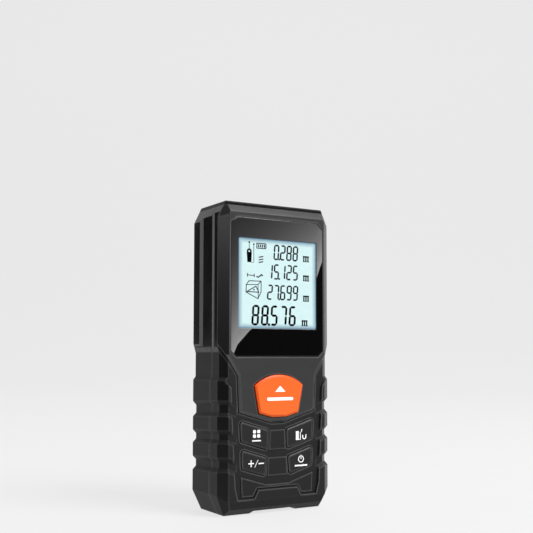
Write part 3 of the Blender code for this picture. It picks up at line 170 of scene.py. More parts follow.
def pick(*objects):
    """Selects these objects alone, the first of them active."""
    if bpy.context.mode != "OBJECT":
        bpy.ops.object.mode_set(mode="OBJECT")
    bpy.ops.object.select_all(action="DESELECT")
    for obj in objects:
        obj.select_set(True)
    bpy.context.view_layer.objects.active = objects[0]


def pick_nothing():
    if bpy.context.mode != "OBJECT":
        bpy.ops.object.mode_set(mode="OBJECT")
    bpy.ops.object.select_all(action="DESELECT")


def edit_all(obj):
    """Goes into edit mode on this object alone, with all of it selected."""
    pick(obj)
    bpy.ops.object.mode_set(mode="EDIT")
    bpy.ops.mesh.select_all(action="SELECT")


def leave_edit():
    bpy.ops.object.mode_set(mode="OBJECT")


def apply_modifier(obj, kind, **settings):
    pick(obj)
    modifier = obj.modifiers.new(kind.lower(), kind)
    for name, value in settings.items():
        setattr(modifier, name, value)
    bpy.ops.object.modifier_apply(modifier=modifier.name)


def thicken(plate, shift):
    """Extrudes a flat plate in edit mode along Y, and turns its faces outwards."""
    bpy.ops.mesh.select_all(action="SELECT")
    bpy.ops.mesh.extrude_region_move(TRANSFORM_OT_translate={"value": (0, shift, 0)})
    bpy.ops.mesh.select_all(action="SELECT")
    bpy.ops.mesh.normals_make_consistent(inside=False)
    leave_edit()
    return plate


def slab(name, outline, near_y, far_y):
    """A flat plate: a filled circle set to the outline in X and Z, and extruded."""
    pick_nothing()
    bpy.ops.mesh.primitive_circle_add(vertices=len(outline), fill_type="NGON")
    plate = bpy.context.object
    plate.name = plate.data.name = name
    for vertex, (x, z) in zip(plate.data.vertices, outline):
        vertex.co = (x, far_y, z)
    plate.location = (0, 0, 0)
    edit_all(plate)
    return thicken(plate, near_y - far_y)


def ring(name, outer, inner, near_y, far_y):
    """A flat frame between two outlines of as many points, bridged and extruded."""
    pick_nothing()
    bpy.ops.mesh.primitive_circle_add(vertices=len(outer), fill_type="NOTHING")
    plate = bpy.context.object
    plate.name = plate.data.name = name
    plate.location = (0, 0, 0)
    edit_all(plate)
    bpy.ops.mesh.primitive_circle_add(vertices=len(inner), fill_type="NOTHING")
    leave_edit()
    for vertex, (x, z) in zip(plate.data.vertices, [*outer, *inner]):
        vertex.co = (x, far_y, z)
    edit_all(plate)
    bpy.ops.mesh.bridge_edge_loops()
    return thicken(plate, near_y - far_y)


def copy_of(template, matrix):
    """A copy with its own mesh, moved in its mesh."""
    made = template.copy()
    made.data = template.data.copy()
    made.data.transform(matrix)
    if matrix.determinant() < 0:
        made.data.flip_normals()
    bpy.context.scene.collection.objects.link(made)
    return made


def discard(obj):
    mesh = obj.data
    bpy.data.objects.remove(obj)
    bpy.data.meshes.remove(mesh)


def rounded_edges(piece, radius, segments, sharper_than):
    """Rounds the edges that are sharper than this, and keeps the broad faces flat."""
    pick(piece)
    bpy.ops.object.shade_smooth()
    apply_modifier(piece, "BEVEL", width=radius, segments=segments, limit_method="ANGLE",
                   angle_limit=math.radians(sharper_than), use_clamp_overlap=False)
    apply_modifier(piece, "WEIGHTED_NORMAL", keep_sharp=False, weight=60)


def close_groove(cap):
    """Runs the plate down to the shells, but for the groove along its front."""
    rim = CAP_TOP - CAP_PLATE
    reach = (rim - GROOVE_LOW) / CAP_PLATE
    points = cap.data.vertices
    slopes = {vertex.index: None for vertex in points if abs(vertex.co.z - rim) < 0.01 * MM}
    for edge in cap.data.edges:
        low, high = sorted((points[i] for i in edge.vertices), key=lambda v: v.co.z)
        slope = low.co - high.co
        if (low.index in slopes and abs(high.co.z - CAP_TOP) < 0.01 * MM
                and slope.length < 1.3 * CAP_PLATE
                and (slopes[low.index] is None or slope.length < slopes[low.index].length)):
            slopes[low.index] = slope
    for index, slope in slopes.items():
        if slope is None:
            points[index].co.z = GROOVE_LOW
        else:
            points[index].co += slope * reach
    front = min(points[index].co.y for index in slopes)
    half, low = 30 * MM, GROOVE_LOW - 1 * MM
    cutter = slab("groove cutter", [(-half, low), (half, low), (half, rim), (-half, rim)],
                  front - 1 * MM, front + GROOVE_SUNK)
    apply_modifier(cap, "BOOLEAN", operation="DIFFERENCE", solver="EXACT", object=cutter)
    discard(cutter)


def softened(node, name, radius):
    """A copy of a moulding from the frame with its sharp edges rounded."""
    source = NODES[node]
    piece = source.copy()
    piece.data = source.data.copy()
    piece.parent = None
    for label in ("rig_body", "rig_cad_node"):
        del piece[label]
    piece.name = piece.data.name = name
    bpy.context.scene.collection.objects.link(piece)
    pick(piece)
    bpy.ops.mesh.customdata_custom_splitnormals_clear()
    edit_all(piece)
    bpy.ops.mesh.remove_doubles(threshold=0.002 * MM)
    leave_edit()
    if node == "top_cap":
        close_groove(piece)
    rounded_edges(piece, radius, 2, 12)
    return piece


def seat(piece, body, slot, finish, *stands_for):
    """Gives a finished piece its material and its body; the slot is not used."""
    piece.data.materials.clear()
    piece.data.materials.append(finish)
    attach(piece, body)
    if stands_for:
        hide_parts(*stands_for)
    return piece


def finish_faces(piece, finish, chosen):
    """Gives one more finish to the faces that the test chooses."""
    piece.data.materials.append(FINISHES[finish])
    for face in piece.data.polygons:
        if chosen(face.normal, face.center):
            face.material_index = len(piece.data.materials) - 1


class Marks:
    """Thin printed marks, put together from one bar and one disc."""

    def __init__(self, near_y, far_y):
        self.near_y, self.far_y = near_y, far_y
        self.bar = slab("bar pattern", [(-0.5, -0.5), (0.5, -0.5), (0.5, 0.5), (-0.5, 0.5)],
                        near_y, far_y)
        turn = [math.tau * step / 20 for step in range(20)]
        self.disc = slab("disc pattern", [(math.cos(a), math.sin(a)) for a in turn],
                         near_y, far_y)
        self.parts = []

    def placed(self, template, x, z, wide, high, angle=0.0):
        size = Matrix.Diagonal((wide, 1.0, high, 1.0))
        turn = Matrix.Rotation(-angle, 4, "Y")
        self.parts.append(copy_of(template, Matrix.Translation((x, 0, z)) @ turn @ size))

    def block(self, left, low, right, high):
        self.placed(self.bar, (left + right) / 2, (low + high) / 2, right - left, high - low)

    def line(self, start, end, width):
        """A straight stroke between two points, a little longer than the gap."""
        across, up = end[0] - start[0], end[1] - start[1]
        self.placed(self.bar, (start[0] + end[0]) / 2, (start[1] + end[1]) / 2,
                    math.hypot(across, up) + 0.7 * width, width, math.atan2(up, across))

    def path(self, points, width):
        for start, end in zip(points, points[1:]):
            self.line(start, end, width)

    def strokes(self, *table):
        """Paths from a table of a width and its points, all in millimetres."""
        for width, *points in table:
            self.path([(x * MM, z * MM) for x, z in points], width * MM)

    def dot(self, x, z, radius):
        self.placed(self.disc, x, z, radius, radius)

    def arc(self, x, z, radius, width, first, last, steps=18):
        """Part of a circle; the angles turn from the right upwards."""
        points = []
        for step in range(steps + 1):
            angle = math.radians(first + (last - first) * step / steps)
            points.append((x + radius * math.cos(angle), z + radius * math.sin(angle)))
        self.path(points, width)

    def rounded_block(self, x, z, half, radius):
        """A small square with round corners."""
        inner = half - radius
        outline = []
        for corner in range(4):
            middle = math.radians(45 + 90 * corner)
            cx = x + inner * math.copysign(1, math.cos(middle))
            cz = z + inner * math.copysign(1, math.sin(middle))
            for step in range(5):
                angle = math.radians(90 * corner + 22.5 * step)
                outline.append((cx + radius * math.cos(angle), cz + radius * math.sin(angle)))
        self.parts.append(slab("square", outline, self.near_y, self.far_y))

    def outline(self, points):
        self.parts.append(slab("shape", points, self.near_y, self.far_y))

    def piece(self, name):
        """All the marks as one mesh, with the strokes that cross each other united."""
        discard(self.bar)
        discard(self.disc)
        others = bpy.data.collections.new(name)
        for part in self.parts[1:]:
            others.objects.link(part)
        piece = self.parts[0]
        apply_modifier(piece, "BOOLEAN", operation="UNION", solver="EXACT",
                       operand_type="COLLECTION", collection=others)
        for part in self.parts[1:]:
            discard(part)
        bpy.data.collections.remove(others)
        piece.name = piece.data.name = name
        return piece


# ---- Node groups and materials -----------------------------------------------------

RUB_GLOSS = 0.12
PALE_RIM = 1.9 * MM
CORNER_BLEND = 1.2 * MM


def new_group(name, inputs, outputs):
    group = bpy.data.node_groups.new(name, "ShaderNodeTree")
    for label, kind, value in inputs:
        made = group.interface.new_socket(label, in_out="INPUT", socket_type=kind)
        made.default_value = value
    for label, kind in outputs:
        group.interface.new_socket(label, in_out="OUTPUT", socket_type=kind)
    return group, group.nodes.new("NodeGroupInput"), group.nodes.new("NodeGroupOutput")


def math_node(tree, operation, first, second=None, third=None, clamp=False):
    node = tree.nodes.new("ShaderNodeMath")
    node.operation = operation
    node.use_clamp = clamp
    for socket, value in zip(node.inputs, (first, second, third)):
        if value is None:
            continue
        if isinstance(value, (int, float)):
            socket.default_value = value
        else:
            tree.links.new(value, socket)
    return node.outputs[0]


def noise(tree, place, scale, detail=2.0, roughness=0.5):
    node = tree.nodes.new("ShaderNodeTexNoise")
    tree.links.new(place, node.inputs["Vector"])
    if isinstance(scale, (int, float)):
        node.inputs["Scale"].default_value = scale
    else:
        tree.links.new(scale, node.inputs["Scale"])
    node.inputs["Detail"].default_value = detail
    node.inputs["Roughness"].default_value = roughness
    return node.outputs["Fac"]


def grain_group():
    """Moulded grain: a fine height, a soft mottle and slow smudges, all from 0 to 1."""
    group, given, out = new_group(
        "Moulded grain",
        [("Scale", "NodeSocketFloat", 5000.0), ("Stretch", "NodeSocketVector", (1, 1, 1))],
        [("Height", "NodeSocketFloat"), ("Mottle", "NodeSocketFloat"),
         ("Smudge", "NodeSocketFloat")])
    place = group.nodes.new("ShaderNodeTexCoord").outputs["Object"]
    stretch = group.nodes.new("ShaderNodeVectorMath")
    stretch.operation = "MULTIPLY"
    group.links.new(place, stretch.inputs[0])
    group.links.new(given.outputs["Stretch"], stretch.inputs[1])
    cells = group.nodes.new("ShaderNodeTexVoronoi")
    cells.feature = "SMOOTH_F1"
    group.links.new(stretch.outputs[0], cells.inputs["Vector"])
    group.links.new(given.outputs["Scale"], cells.inputs["Scale"])
    fine = noise(group, stretch.outputs[0], given.outputs["Scale"], 3.0, 0.6)
    height = math_node(group, "MULTIPLY_ADD", cells.outputs["Distance"], 0.6, fine)
    group.links.new(height, out.inputs["Height"])
    group.links.new(noise(group, place, 420.0, 4.0, 0.65), out.inputs["Mottle"])
    group.links.new(noise(group, place, 55.0, 3.0, 0.55), out.inputs["Smudge"])
    return group


def edge_wear_and_highlight_group():
    """A mask that is 1 on outer edges, where the solid is thin behind the surface; it lightens
    them as worn edges and as painted highlight.
    """
    group, given, out = new_group(
        "Worn and highlighted edges",
        [("Reach", "NodeSocketFloat", 0.0006), ("Strength", "NodeSocketFloat", 4.0)],
        [("Mask", "NodeSocketFloat")])
    thin = group.nodes.new("ShaderNodeAmbientOcclusion")
    thin.inside = thin.only_local = True
    thin.samples = 8
    group.links.new(given.outputs["Reach"], thin.inputs["Distance"])
    edge = math_node(group, "SUBTRACT", 1.0, thin.outputs["AO"], clamp=True)
    strong = math_node(group, "MULTIPLY", edge, given.outputs["Strength"], clamp=True)
    place = group.nodes.new("ShaderNodeTexCoord").outputs["Object"]
    broken = math_node(group, "MULTIPLY_ADD", noise(group, place, 900.0, 3.0), 0.8, 0.4,
                       clamp=True)
    group.links.new(math_node(group, "MULTIPLY", strong, broken), out.inputs["Mask"])
    return group


def axes(tree, kind="Object"):
    """The three parts of a point's place, or of its normal."""
    place = tree.nodes.new("ShaderNodeTexCoord").outputs[kind]
    parts = tree.nodes.new("ShaderNodeSeparateXYZ")
    tree.links.new(place, parts.inputs[0])
    return parts.outputs


def placed_group(tree, group, **values):
    node = tree.nodes.new("ShaderNodeGroup")
    node.node_tree = group
    for label, value in values.items():
        node.inputs[label].default_value = value
    return node


def mixed(tree, factor, first, second):
    """A colour between two; each is a socket or a plain colour."""
    node = tree.nodes.new("ShaderNodeMix")
    node.data_type = "RGBA"
    sockets = {s.identifier: s for s in node.inputs}
    for identifier, value in (("Factor_Float", factor), ("A_Color", first), ("B_Color", second)):
        if isinstance(value, bpy.types.NodeSocket):
            tree.links.new(value, sockets[identifier])
        elif isinstance(value, (int, float)):
            sockets[identifier].default_value = value
        else:
            sockets[identifier].default_value = (*value[:3], 1.0)
    return next(s for s in node.outputs if s.identifier == "Result_Color")


def blank_material(name):
    """A new material of this name; the frame's plain one makes way for it."""
    plain = bpy.data.materials.get(name)
    if plain:
        plain.name = name + "_plain"
    made = bpy.data.materials.new(name)
    made.use_nodes = True
    return made, made.node_tree, made.node_tree.nodes["Principled BSDF"]


def scaled(colour, factor):
    return tuple(min(1.0, channel * factor) for channel in colour[:3])


def textured(name, colour, roughness, metallic=0.0, scale=5000.0, depth=0.00001,
             mottle=0.12, smudge=0.06, wear_and_highlight=0.0, lift=2.2, stretch=(1, 1, 1), specular=0.5,
             ior=1.5):
    """A moulded, cast or drawn finish: mottled colour, smudged gloss, grain, and outer edges
    lightened as worn edges and as painted highlight.
    """
    made, tree, shader = blank_material(name)
    grain = placed_group(tree, GROUPS["grain"], Scale=scale, Stretch=stretch)
    base = mixed(tree, grain.outputs["Mottle"], scaled(colour, 1 - mottle),
                 scaled(colour, 1 + mottle))
    rough = math_node(tree, "MULTIPLY_ADD", grain.outputs["Smudge"], 2 * smudge,
                      roughness - smudge)
    # Outer edges are lightened by lift: partly worn edges, partly painted highlight.
    if wear_and_highlight:
        edge_lightening = placed_group(tree, GROUPS["wear_and_highlight"])
        share = math_node(tree, "MULTIPLY", edge_lightening.outputs["Mask"], wear_and_highlight)
        base = mixed(tree, share, base, scaled(colour, lift))
        rough = math_node(tree, "MULTIPLY_ADD", edge_lightening.outputs["Mask"], -RUB_GLOSS, rough,
                          clamp=True)
    tree.links.new(base, shader.inputs["Base Color"])
    tree.links.new(rough, shader.inputs["Roughness"])
    bump = tree.nodes.new("ShaderNodeBump")
    bump.inputs["Distance"].default_value = depth
    tree.links.new(grain.outputs["Height"], bump.inputs["Height"])
    tree.links.new(bump.outputs["Normal"], shader.inputs["Normal"])
    shader.inputs["Metallic"].default_value = metallic
    shader.inputs["IOR"].default_value = ior
    shader.inputs["Specular IOR Level"].default_value = specular
    return made


def measuring_key_material():
    """Orange silicone: the flanks are painted a deeper red than the face, as painted shade."""
    tint, side = colours().start, colours().start_side_shade
    made = textured("start_orange", tint, 0.42, scale=4200.0, depth=0.000008, mottle=0.04,
                    wear_and_highlight=0.5, lift=1.5, specular=0.25)
    tree = made.node_tree
    shader = tree.nodes["Principled BSDF"]
    face = shader.inputs["Base Color"].links[0].from_socket
    # The deeper red on faces that turn away from the front is painted shade.
    facing = math_node(tree, "MULTIPLY", axes(tree, "Normal")["Y"], -1.0, clamp=True)
    face_share = math_node(tree, "POWER", facing, 3.0, clamp=True)
    tree.links.new(mixed(tree, face_share, side, face), shader.inputs["Base Color"])
    return made


def display_material():
    """The lit display: cyan in the middle, bluer towards its rim, with a faint mottle."""
    made, tree, shader = blank_material("display_glass")
    place, nearest = axes(tree), None
    for axis, low, high in (("X", VIEW_LEFT, VIEW_RIGHT), ("Z", VIEW_LOW, VIEW_HIGH)):
        from_middle = math_node(tree, "SUBTRACT", place[axis], (low + high) / 2)
        off = math_node(tree, "ABSOLUTE", from_middle)
        room = math_node(tree, "SUBTRACT", (high - low) / 2, off)
        nearest = room if nearest is None else math_node(tree, "SMOOTH_MIN", nearest, room,
                                                         CORNER_BLEND)
    share = math_node(tree, "DIVIDE", nearest, PALE_RIM, clamp=True)
    ease = math_node(tree, "POWER", share, 0.70, clamp=True)
    grain = placed_group(tree, GROUPS["grain"], Scale=2600.0)
    speckle = math_node(tree, "MULTIPLY_ADD", grain.outputs["Mottle"], 0.06, 0.95)
    lit = mixed(tree, ease, colours().display_edge, colours().display)
    dimmed = tree.nodes.new("ShaderNodeVectorMath")
    dimmed.operation = "SCALE"
    tree.links.new(lit, dimmed.inputs[0])
    tree.links.new(speckle, dimmed.inputs["Scale"])
    tree.links.new(dimmed.outputs[0], shader.inputs["Emission Color"])
    shader.inputs["Emission Strength"].default_value = 1.0
    shader.inputs["Base Color"].default_value = (0.02, 0.03, 0.03, 1)
    shader.inputs["Specular IOR Level"].default_value = 0.0
    tree.links.new(grain.outputs["Smudge"], shader.inputs["Roughness"])
    return made


def clear_material(name, tint, roughness, ior):
    """Clear or tinted glass with faint smudges in its gloss."""
    made, tree, shader = blank_material(name)
    grain = placed_group(tree, GROUPS["grain"], Scale=900.0)
    rough = math_node(tree, "MULTIPLY_ADD", grain.outputs["Smudge"], 0.02, roughness)
    tree.links.new(rough, shader.inputs["Roughness"])
    base = mixed(tree, grain.outputs["Mottle"], scaled(tint, 0.97), tint)
    tree.links.new(base, shader.inputs["Base Color"])
    shader.inputs["Transmission Weight"].default_value = 1.0
    shader.inputs["IOR"].default_value = ior
    return made


def board_material():
    """Green solder mask with a faint weave and lighter tracks."""
    made = textured("board_green", (0.02, 0.16, 0.07), 0.36, scale=1800.0, depth=0.00001,
                    mottle=0.22)
    tree = made.node_tree
    shader = tree.nodes["Principled BSDF"]
    green = shader.inputs["Base Color"].links[0].from_socket
    place = tree.nodes.new("ShaderNodeTexCoord").outputs["Object"]
    tracks = tree.nodes.new("ShaderNodeTexBrick")
    turn = tree.nodes.new("ShaderNodeMapping")
    turn.inputs["Rotation"].default_value = (math.radians(90), 0, 0)
    tree.links.new(place, turn.inputs["Vector"])
    tree.links.new(turn.outputs[0], tracks.inputs["Vector"])
    tracks.inputs["Scale"].default_value = 180.0
    tracks.inputs["Mortar Size"].default_value = 0.04
    base = mixed(tree, tracks.outputs["Fac"], green, (0.05, 0.30, 0.14))
    tree.links.new(base, shader.inputs["Base Color"])
    return made


def sleeve_material():
    """A cell's printed sleeve: two plain bands, one of them metallic."""
    made = textured("cell_sleeve", (0.10, 0.11, 0.13), 0.30, metallic=0.6, scale=1500.0,
                    depth=0.000004, mottle=0.15)
    tree = made.node_tree
    shader = tree.nodes["Principled BSDF"]
    dark = shader.inputs["Base Color"].links[0].from_socket
    low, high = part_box("left_cell")
    above = math_node(tree, "GREATER_THAN", axes(tree)["Z"], low.z + 0.68 * (high.z - low.z))
    tree.links.new(mixed(tree, above, dark, (0.72, 0.55, 0.30)), shader.inputs["Base Color"])
    return made


GROUPS, FINISHES = {}, {}


def make_finishes():
    GROUPS["grain"], GROUPS["wear_and_highlight"] = grain_group(), edge_wear_and_highlight_group()
    tint, size = colours(), sizes()
    made = [
        # On the casing, grip and key finishes the edges are lightened nine to thirty times:
        # painted highlight.
        textured("hard_plastic", tint.casing, 0.36, scale=6200.0, depth=size.grain_depth,
                 mottle=0.10, wear_and_highlight=0.7, lift=10.0, specular=0.45),
        # A darker, glossier copy of the casing for the side bands: painted shade.
        textured("casing_band_painted_shade", scaled(tint.casing, 0.4), 0.16, scale=6200.0,
                 depth=0.5 * size.grain_depth, mottle=0.10, specular=0.4),
        # A darker copy of the casing for the two long front bevels: painted shade.
        textured("casing_bevel_painted_shade", scaled(tint.casing, 0.5), 0.20, scale=6200.0,
                 depth=0.5 * size.grain_depth, mottle=0.10, specular=0.45),
        # A darker copy of the casing for the cap's lip: painted shade.
        textured("casing_lip_painted_shade", scaled(tint.casing, 0.4), 0.45, scale=6200.0,
                 depth=0.5 * size.grain_depth, mottle=0.10, specular=0.15),
        # A seven times lighter copy of the casing for the panel's rim: painted highlight.
        textured("panel_rim_painted_highlight", scaled(tint.casing, 7.0), 0.34, scale=6200.0,
                 depth=0.5 * size.grain_depth, mottle=0.10),
        textured("soft_grip", tint.grip, 0.55, scale=4600.0, depth=size.grip_grain_depth,
                 mottle=0.12, wear_and_highlight=0.8, lift=9.0, specular=0.18),
        # A darker, glossier copy of the grip for the channel facets: painted shade.
        textured("grip_channel_painted_shade", scaled(tint.grip, 0.25), 0.26, scale=6200.0,
                 depth=size.grain_depth, mottle=0.10, wear_and_highlight=0.5, lift=30.0, specular=0.2),
        textured("key_rubber", tint.key, 0.50, scale=5200.0, depth=0.00001, mottle=0.10,
                 wear_and_highlight=0.6, lift=9.0, specular=0.20),
        # A darker copy of the key rubber for the gaps round the keys: painted shade.
        textured("key_well_painted_shade", scaled(tint.key, 0.2), 0.70, scale=5200.0, depth=0.00001,
                 mottle=0.10, specular=0.05),
        textured("sign_white", tint.sign, 0.50, scale=5200.0, depth=0.000003, mottle=0.03,
                 smudge=0.04),
        textured("window_black", (0.003, 0.003, 0.0032), 0.010, scale=900.0, depth=0.0,
                 mottle=0.10, smudge=0.004, ior=1.75),
        textured("display_rim", (0.004, 0.004, 0.004), 0.60, scale=5200.0, depth=0.000004),
        textured("display_ink", (0.002, 0.003, 0.004), 0.60, scale=5200.0, depth=0.000001,
                 specular=0.0),
        textured("light_guide", (0.80, 0.92, 0.95), 0.30, scale=700.0, depth=0.000004,
                 mottle=0.03),
        textured("white_plastic", (0.72, 0.72, 0.70), 0.48, scale=4200.0, depth=0.000008,
                 mottle=0.05, wear_and_highlight=0.3, lift=1.1),
        textured("black_epoxy", (0.018, 0.018, 0.018), 0.38, scale=5200.0, depth=0.000008,
                 wear_and_highlight=0.4),
        textured("cast_metal", (0.48, 0.49, 0.51), 0.42, metallic=1.0, scale=2400.0,
                 depth=0.00002, mottle=0.14, wear_and_highlight=0.5, lift=1.5),
        textured("brass", (0.72, 0.50, 0.20), 0.28, metallic=1.0, scale=1500.0,
                 depth=0.000004, mottle=0.12, stretch=(1, 1, 0.08)),
        textured("steel", (0.58, 0.58, 0.58), 0.28, metallic=1.0, scale=1800.0,
                 depth=0.000004, mottle=0.10, stretch=(1, 0.1, 1), wear_and_highlight=0.3, lift=1.4),
        textured("foam", (0.028, 0.028, 0.028), 0.95, scale=2600.0, depth=0.00008,
                 mottle=0.25),
        clear_material("window_clear", (0.97, 0.99, 1.0), 0.008, 1.06),
        clear_material("optical_glass", (0.78, 0.90, 0.95), 0.006, 1.52),
        clear_material("red_filter", (0.55, 0.02, 0.03), 0.01, 1.52),
        measuring_key_material(), display_material(), board_material(), sleeve_material(),
    ]
    FINISHES.update({material.name: material for material in made})


# ---- Operators: the pieces -----------------------------------------------------------

class MeterOperator:
    bl_options = {"REGISTER", "UNDO"}


class AddFinishes(MeterOperator, bpy.types.Operator):
    """Make every finish, and give it to the inner parts that the frame already holds"""
    bl_idname = "meter.add_finishes"
    bl_label = "Finishes"

    NODE_FINISHES = {
        "red_filter": "receiver_window",
        "optical_glass": "emitter_window receiver_lens collimator_lens",
        "foam": "window_tape cover_foam",
        "light_guide": "light_guide",
        "white_plastic": "display_frame",
        "steel": "start_switch function_switch reference_switch plus_minus_switch"
                 " power_switch upper_left_screw upper_right_screw lower_left_screw"
                 " lower_right_screw board_left_screw board_right_screw optics_left_screw"
                 " optics_right_screw receiver_sensor laser_diode link_contact"
                 " plus_contact minus_contact",
        "board_green": "main_board receiver_board",
        "black_epoxy": "processor buzzer",
        "cast_metal": "optics_frame",
        "brass": "laser_barrel",
        "cell_sleeve": "left_cell right_cell",
    }

    def execute(self, context):
        make_finishes()
        for finish, nodes in self.NODE_FINISHES.items():
            for node in nodes.split():
                materials = NODES[node].data.materials
                materials.clear()
                materials.append(FINISHES[finish])
        return {"FINISHED"}


class AddCasing(MeterOperator, bpy.types.Operator):
    """Round the moulded edges of the shells, grips, end cap and battery cover"""
    bl_idname = "meter.add_casing"
    bl_label = "Casing"

    MOULDINGS = (
        ("front_shell", "casing_front", "housing", "hard_plastic"),
        ("rear_shell", "casing_rear", "housing", "hard_plastic"),
        ("front_grip", "grip_front", "housing", "soft_grip"),
        ("rear_grip", "grip_rear", "housing", "soft_grip"),
        ("top_cap", "end_cap", "housing", "hard_plastic"),
        ("battery_cover", "cover_moulding", "battery_cover", "hard_plastic"),
    )

    def execute(self, context):
        for node, name, body, finish in self.MOULDINGS:
            piece = softened(node, name, sizes().edge_radius)
            seat(piece, body, finish, FINISHES[finish], node)
            # The extra finishes below paint shade on the key gaps, the grip's channel facets, the
            # side bands, the front bevels and the cap's lip, and paint a highlight on the panel's
            # rim.
            if node.startswith("front_"):
                finish_faces(piece, "key_well_painted_shade", self.in_well)
            if node == "front_grip":
                finish_faces(piece, "grip_channel_painted_shade", self.in_channel)
            elif node == "front_shell":
                finish_faces(piece, "casing_band_painted_shade", self.in_band)
                finish_faces(piece, "panel_rim_painted_highlight", self.on_rim)
                finish_faces(piece, "casing_bevel_painted_shade", self.on_bevel)
            elif node == "rear_shell":
                finish_faces(piece, "casing_band_painted_shade", self.in_band)
            elif node == "top_cap":
                finish_faces(piece, "casing_lip_painted_shade", self.on_lip)
        return {"FINISHED"}

    def in_well(self, normal, centre):
        """The walls of the gaps round the keys, which get painted shade."""
        return (abs(normal.y) < 0.3 and FRONT_Y < centre.y < FRONT_Y + 4 * MM
                and abs(centre.x) < 16 * MM and 13 * MM < centre.z < 52 * MM)

    def in_channel(self, normal, centre):
        """The smooth facets between the lugs and the front, which get painted shade."""
        return 0.5 < abs(normal.x) < 0.85 and normal.y < -0.5 and abs(normal.z) < 0.45

    def in_band(self, normal, centre):
        """The smooth bands down the outer sides above the grip, which get painted shade."""
        return abs(normal.x) > 0.99 and abs(centre.x) > 22 * MM and centre.z > 60 * MM

    def on_lip(self, normal, centre):
        """The thin front and side edges of the end cap's plate, which get painted shade."""
        return normal.z < 0.75

    def on_bevel(self, normal, centre):
        """The two long facets beside the front, which get painted shade."""
        return (0.5 < abs(normal.x) < 0.9 and normal.y < -0.4 and abs(normal.z) < 0.1
                and abs(centre.x) > 20 * MM)

    def on_rim(self, normal, centre):
        """The rim that slopes down from the hard front panel to the grip, which gets a painted
        highlight.
        """
        return (-0.95 < normal.y < -0.3 and centre.y < FRONT_Y + 1.2 * MM
                and 6 * MM < abs(centre.x) < 21 * MM and centre.z < 57 * MM)


class AddKeys(MeterOperator, bpy.types.Operator):
    """Round the rims of the five keys"""
    bl_idname = "meter.add_keys"
    bl_label = "Keys"

    def execute(self, context):
        for node in ("function_key", "reference_key", "plus_minus_key", "power_key"):
            piece = softened(node, node + "_cap", sizes().key_edge_radius)
            seat(piece, node, "key_rubber", FINISHES["key_rubber"], node)
            # The faces below the key's rim get painted shade.
            finish_faces(piece, "key_well_painted_shade", self.below_rim)
        start = softened("start_key", "start_key_cap", 1.2 * sizes().key_edge_radius)
        face = START_FACE_Y + 0.75 * sizes().sign_height
        for vertex in start.data.vertices:
            vertex.co.y = max(vertex.co.y, face)
        seat(start, "start_key", "start_orange", FINISHES["start_orange"], "start_key")
        return {"FINISHED"}

    def below_rim(self, normal, centre):
        """What a small key shows only in the gap round it, which gets painted shade."""
        return centre.y > KEY_FACE_Y + 0.45 * MM


def octagon(left, right, low, high, low_cut, high_cut):
    """A rectangle with its corners cut, from its lower left round to the left."""
    return [(left + low_cut, low), (right - low_cut, low), (right, low + low_cut),
            (right, high - high_cut), (right - high_cut, high), (left + high_cut, high),
            (left, high - high_cut), (left, low + low_cut)]


class AddWindow(MeterOperator, bpy.types.Operator):
    """Add the window: a black printed border round a clear pane"""
    bl_idname = "meter.add_window"
    bl_label = "Window"

    def execute(self, context):
        low_cut, high_cut = WINDOW_CHAMFERS
        outer = octagon(WINDOW_LOW.x, WINDOW_HIGH.x, WINDOW_LOW.z, WINDOW_HIGH.z,
                        low_cut, high_cut)
        hole = octagon(VIEW_LEFT, VIEW_RIGHT, VIEW_LOW, VIEW_HIGH, 0.45 * MM, 0.45 * MM)
        border = ring("window_border", outer, hole, WINDOW_LOW.y, WINDOW_HIGH.y)
        rounded_edges(border, sizes().window_edge, 3, 50)
        seat(border, "housing", "window_acrylic", FINISHES["window_black"], "display_window")

        gap = 0.02 * MM
        pane_outline = octagon(VIEW_LEFT + gap, VIEW_RIGHT - gap, VIEW_LOW + gap,
                               VIEW_HIGH - gap, 0.44 * MM, 0.44 * MM)
        sunk = 0.04 * MM
        pane = slab("window_pane", pane_outline, WINDOW_LOW.y + sunk,
                    WINDOW_LOW.y + PANE_DEPTH)
        rounded_edges(pane, 0.03 * MM, 2, 50)
        seat(pane, "housing", "window_acrylic", FINISHES["window_clear"])
        return {"FINISHED"}


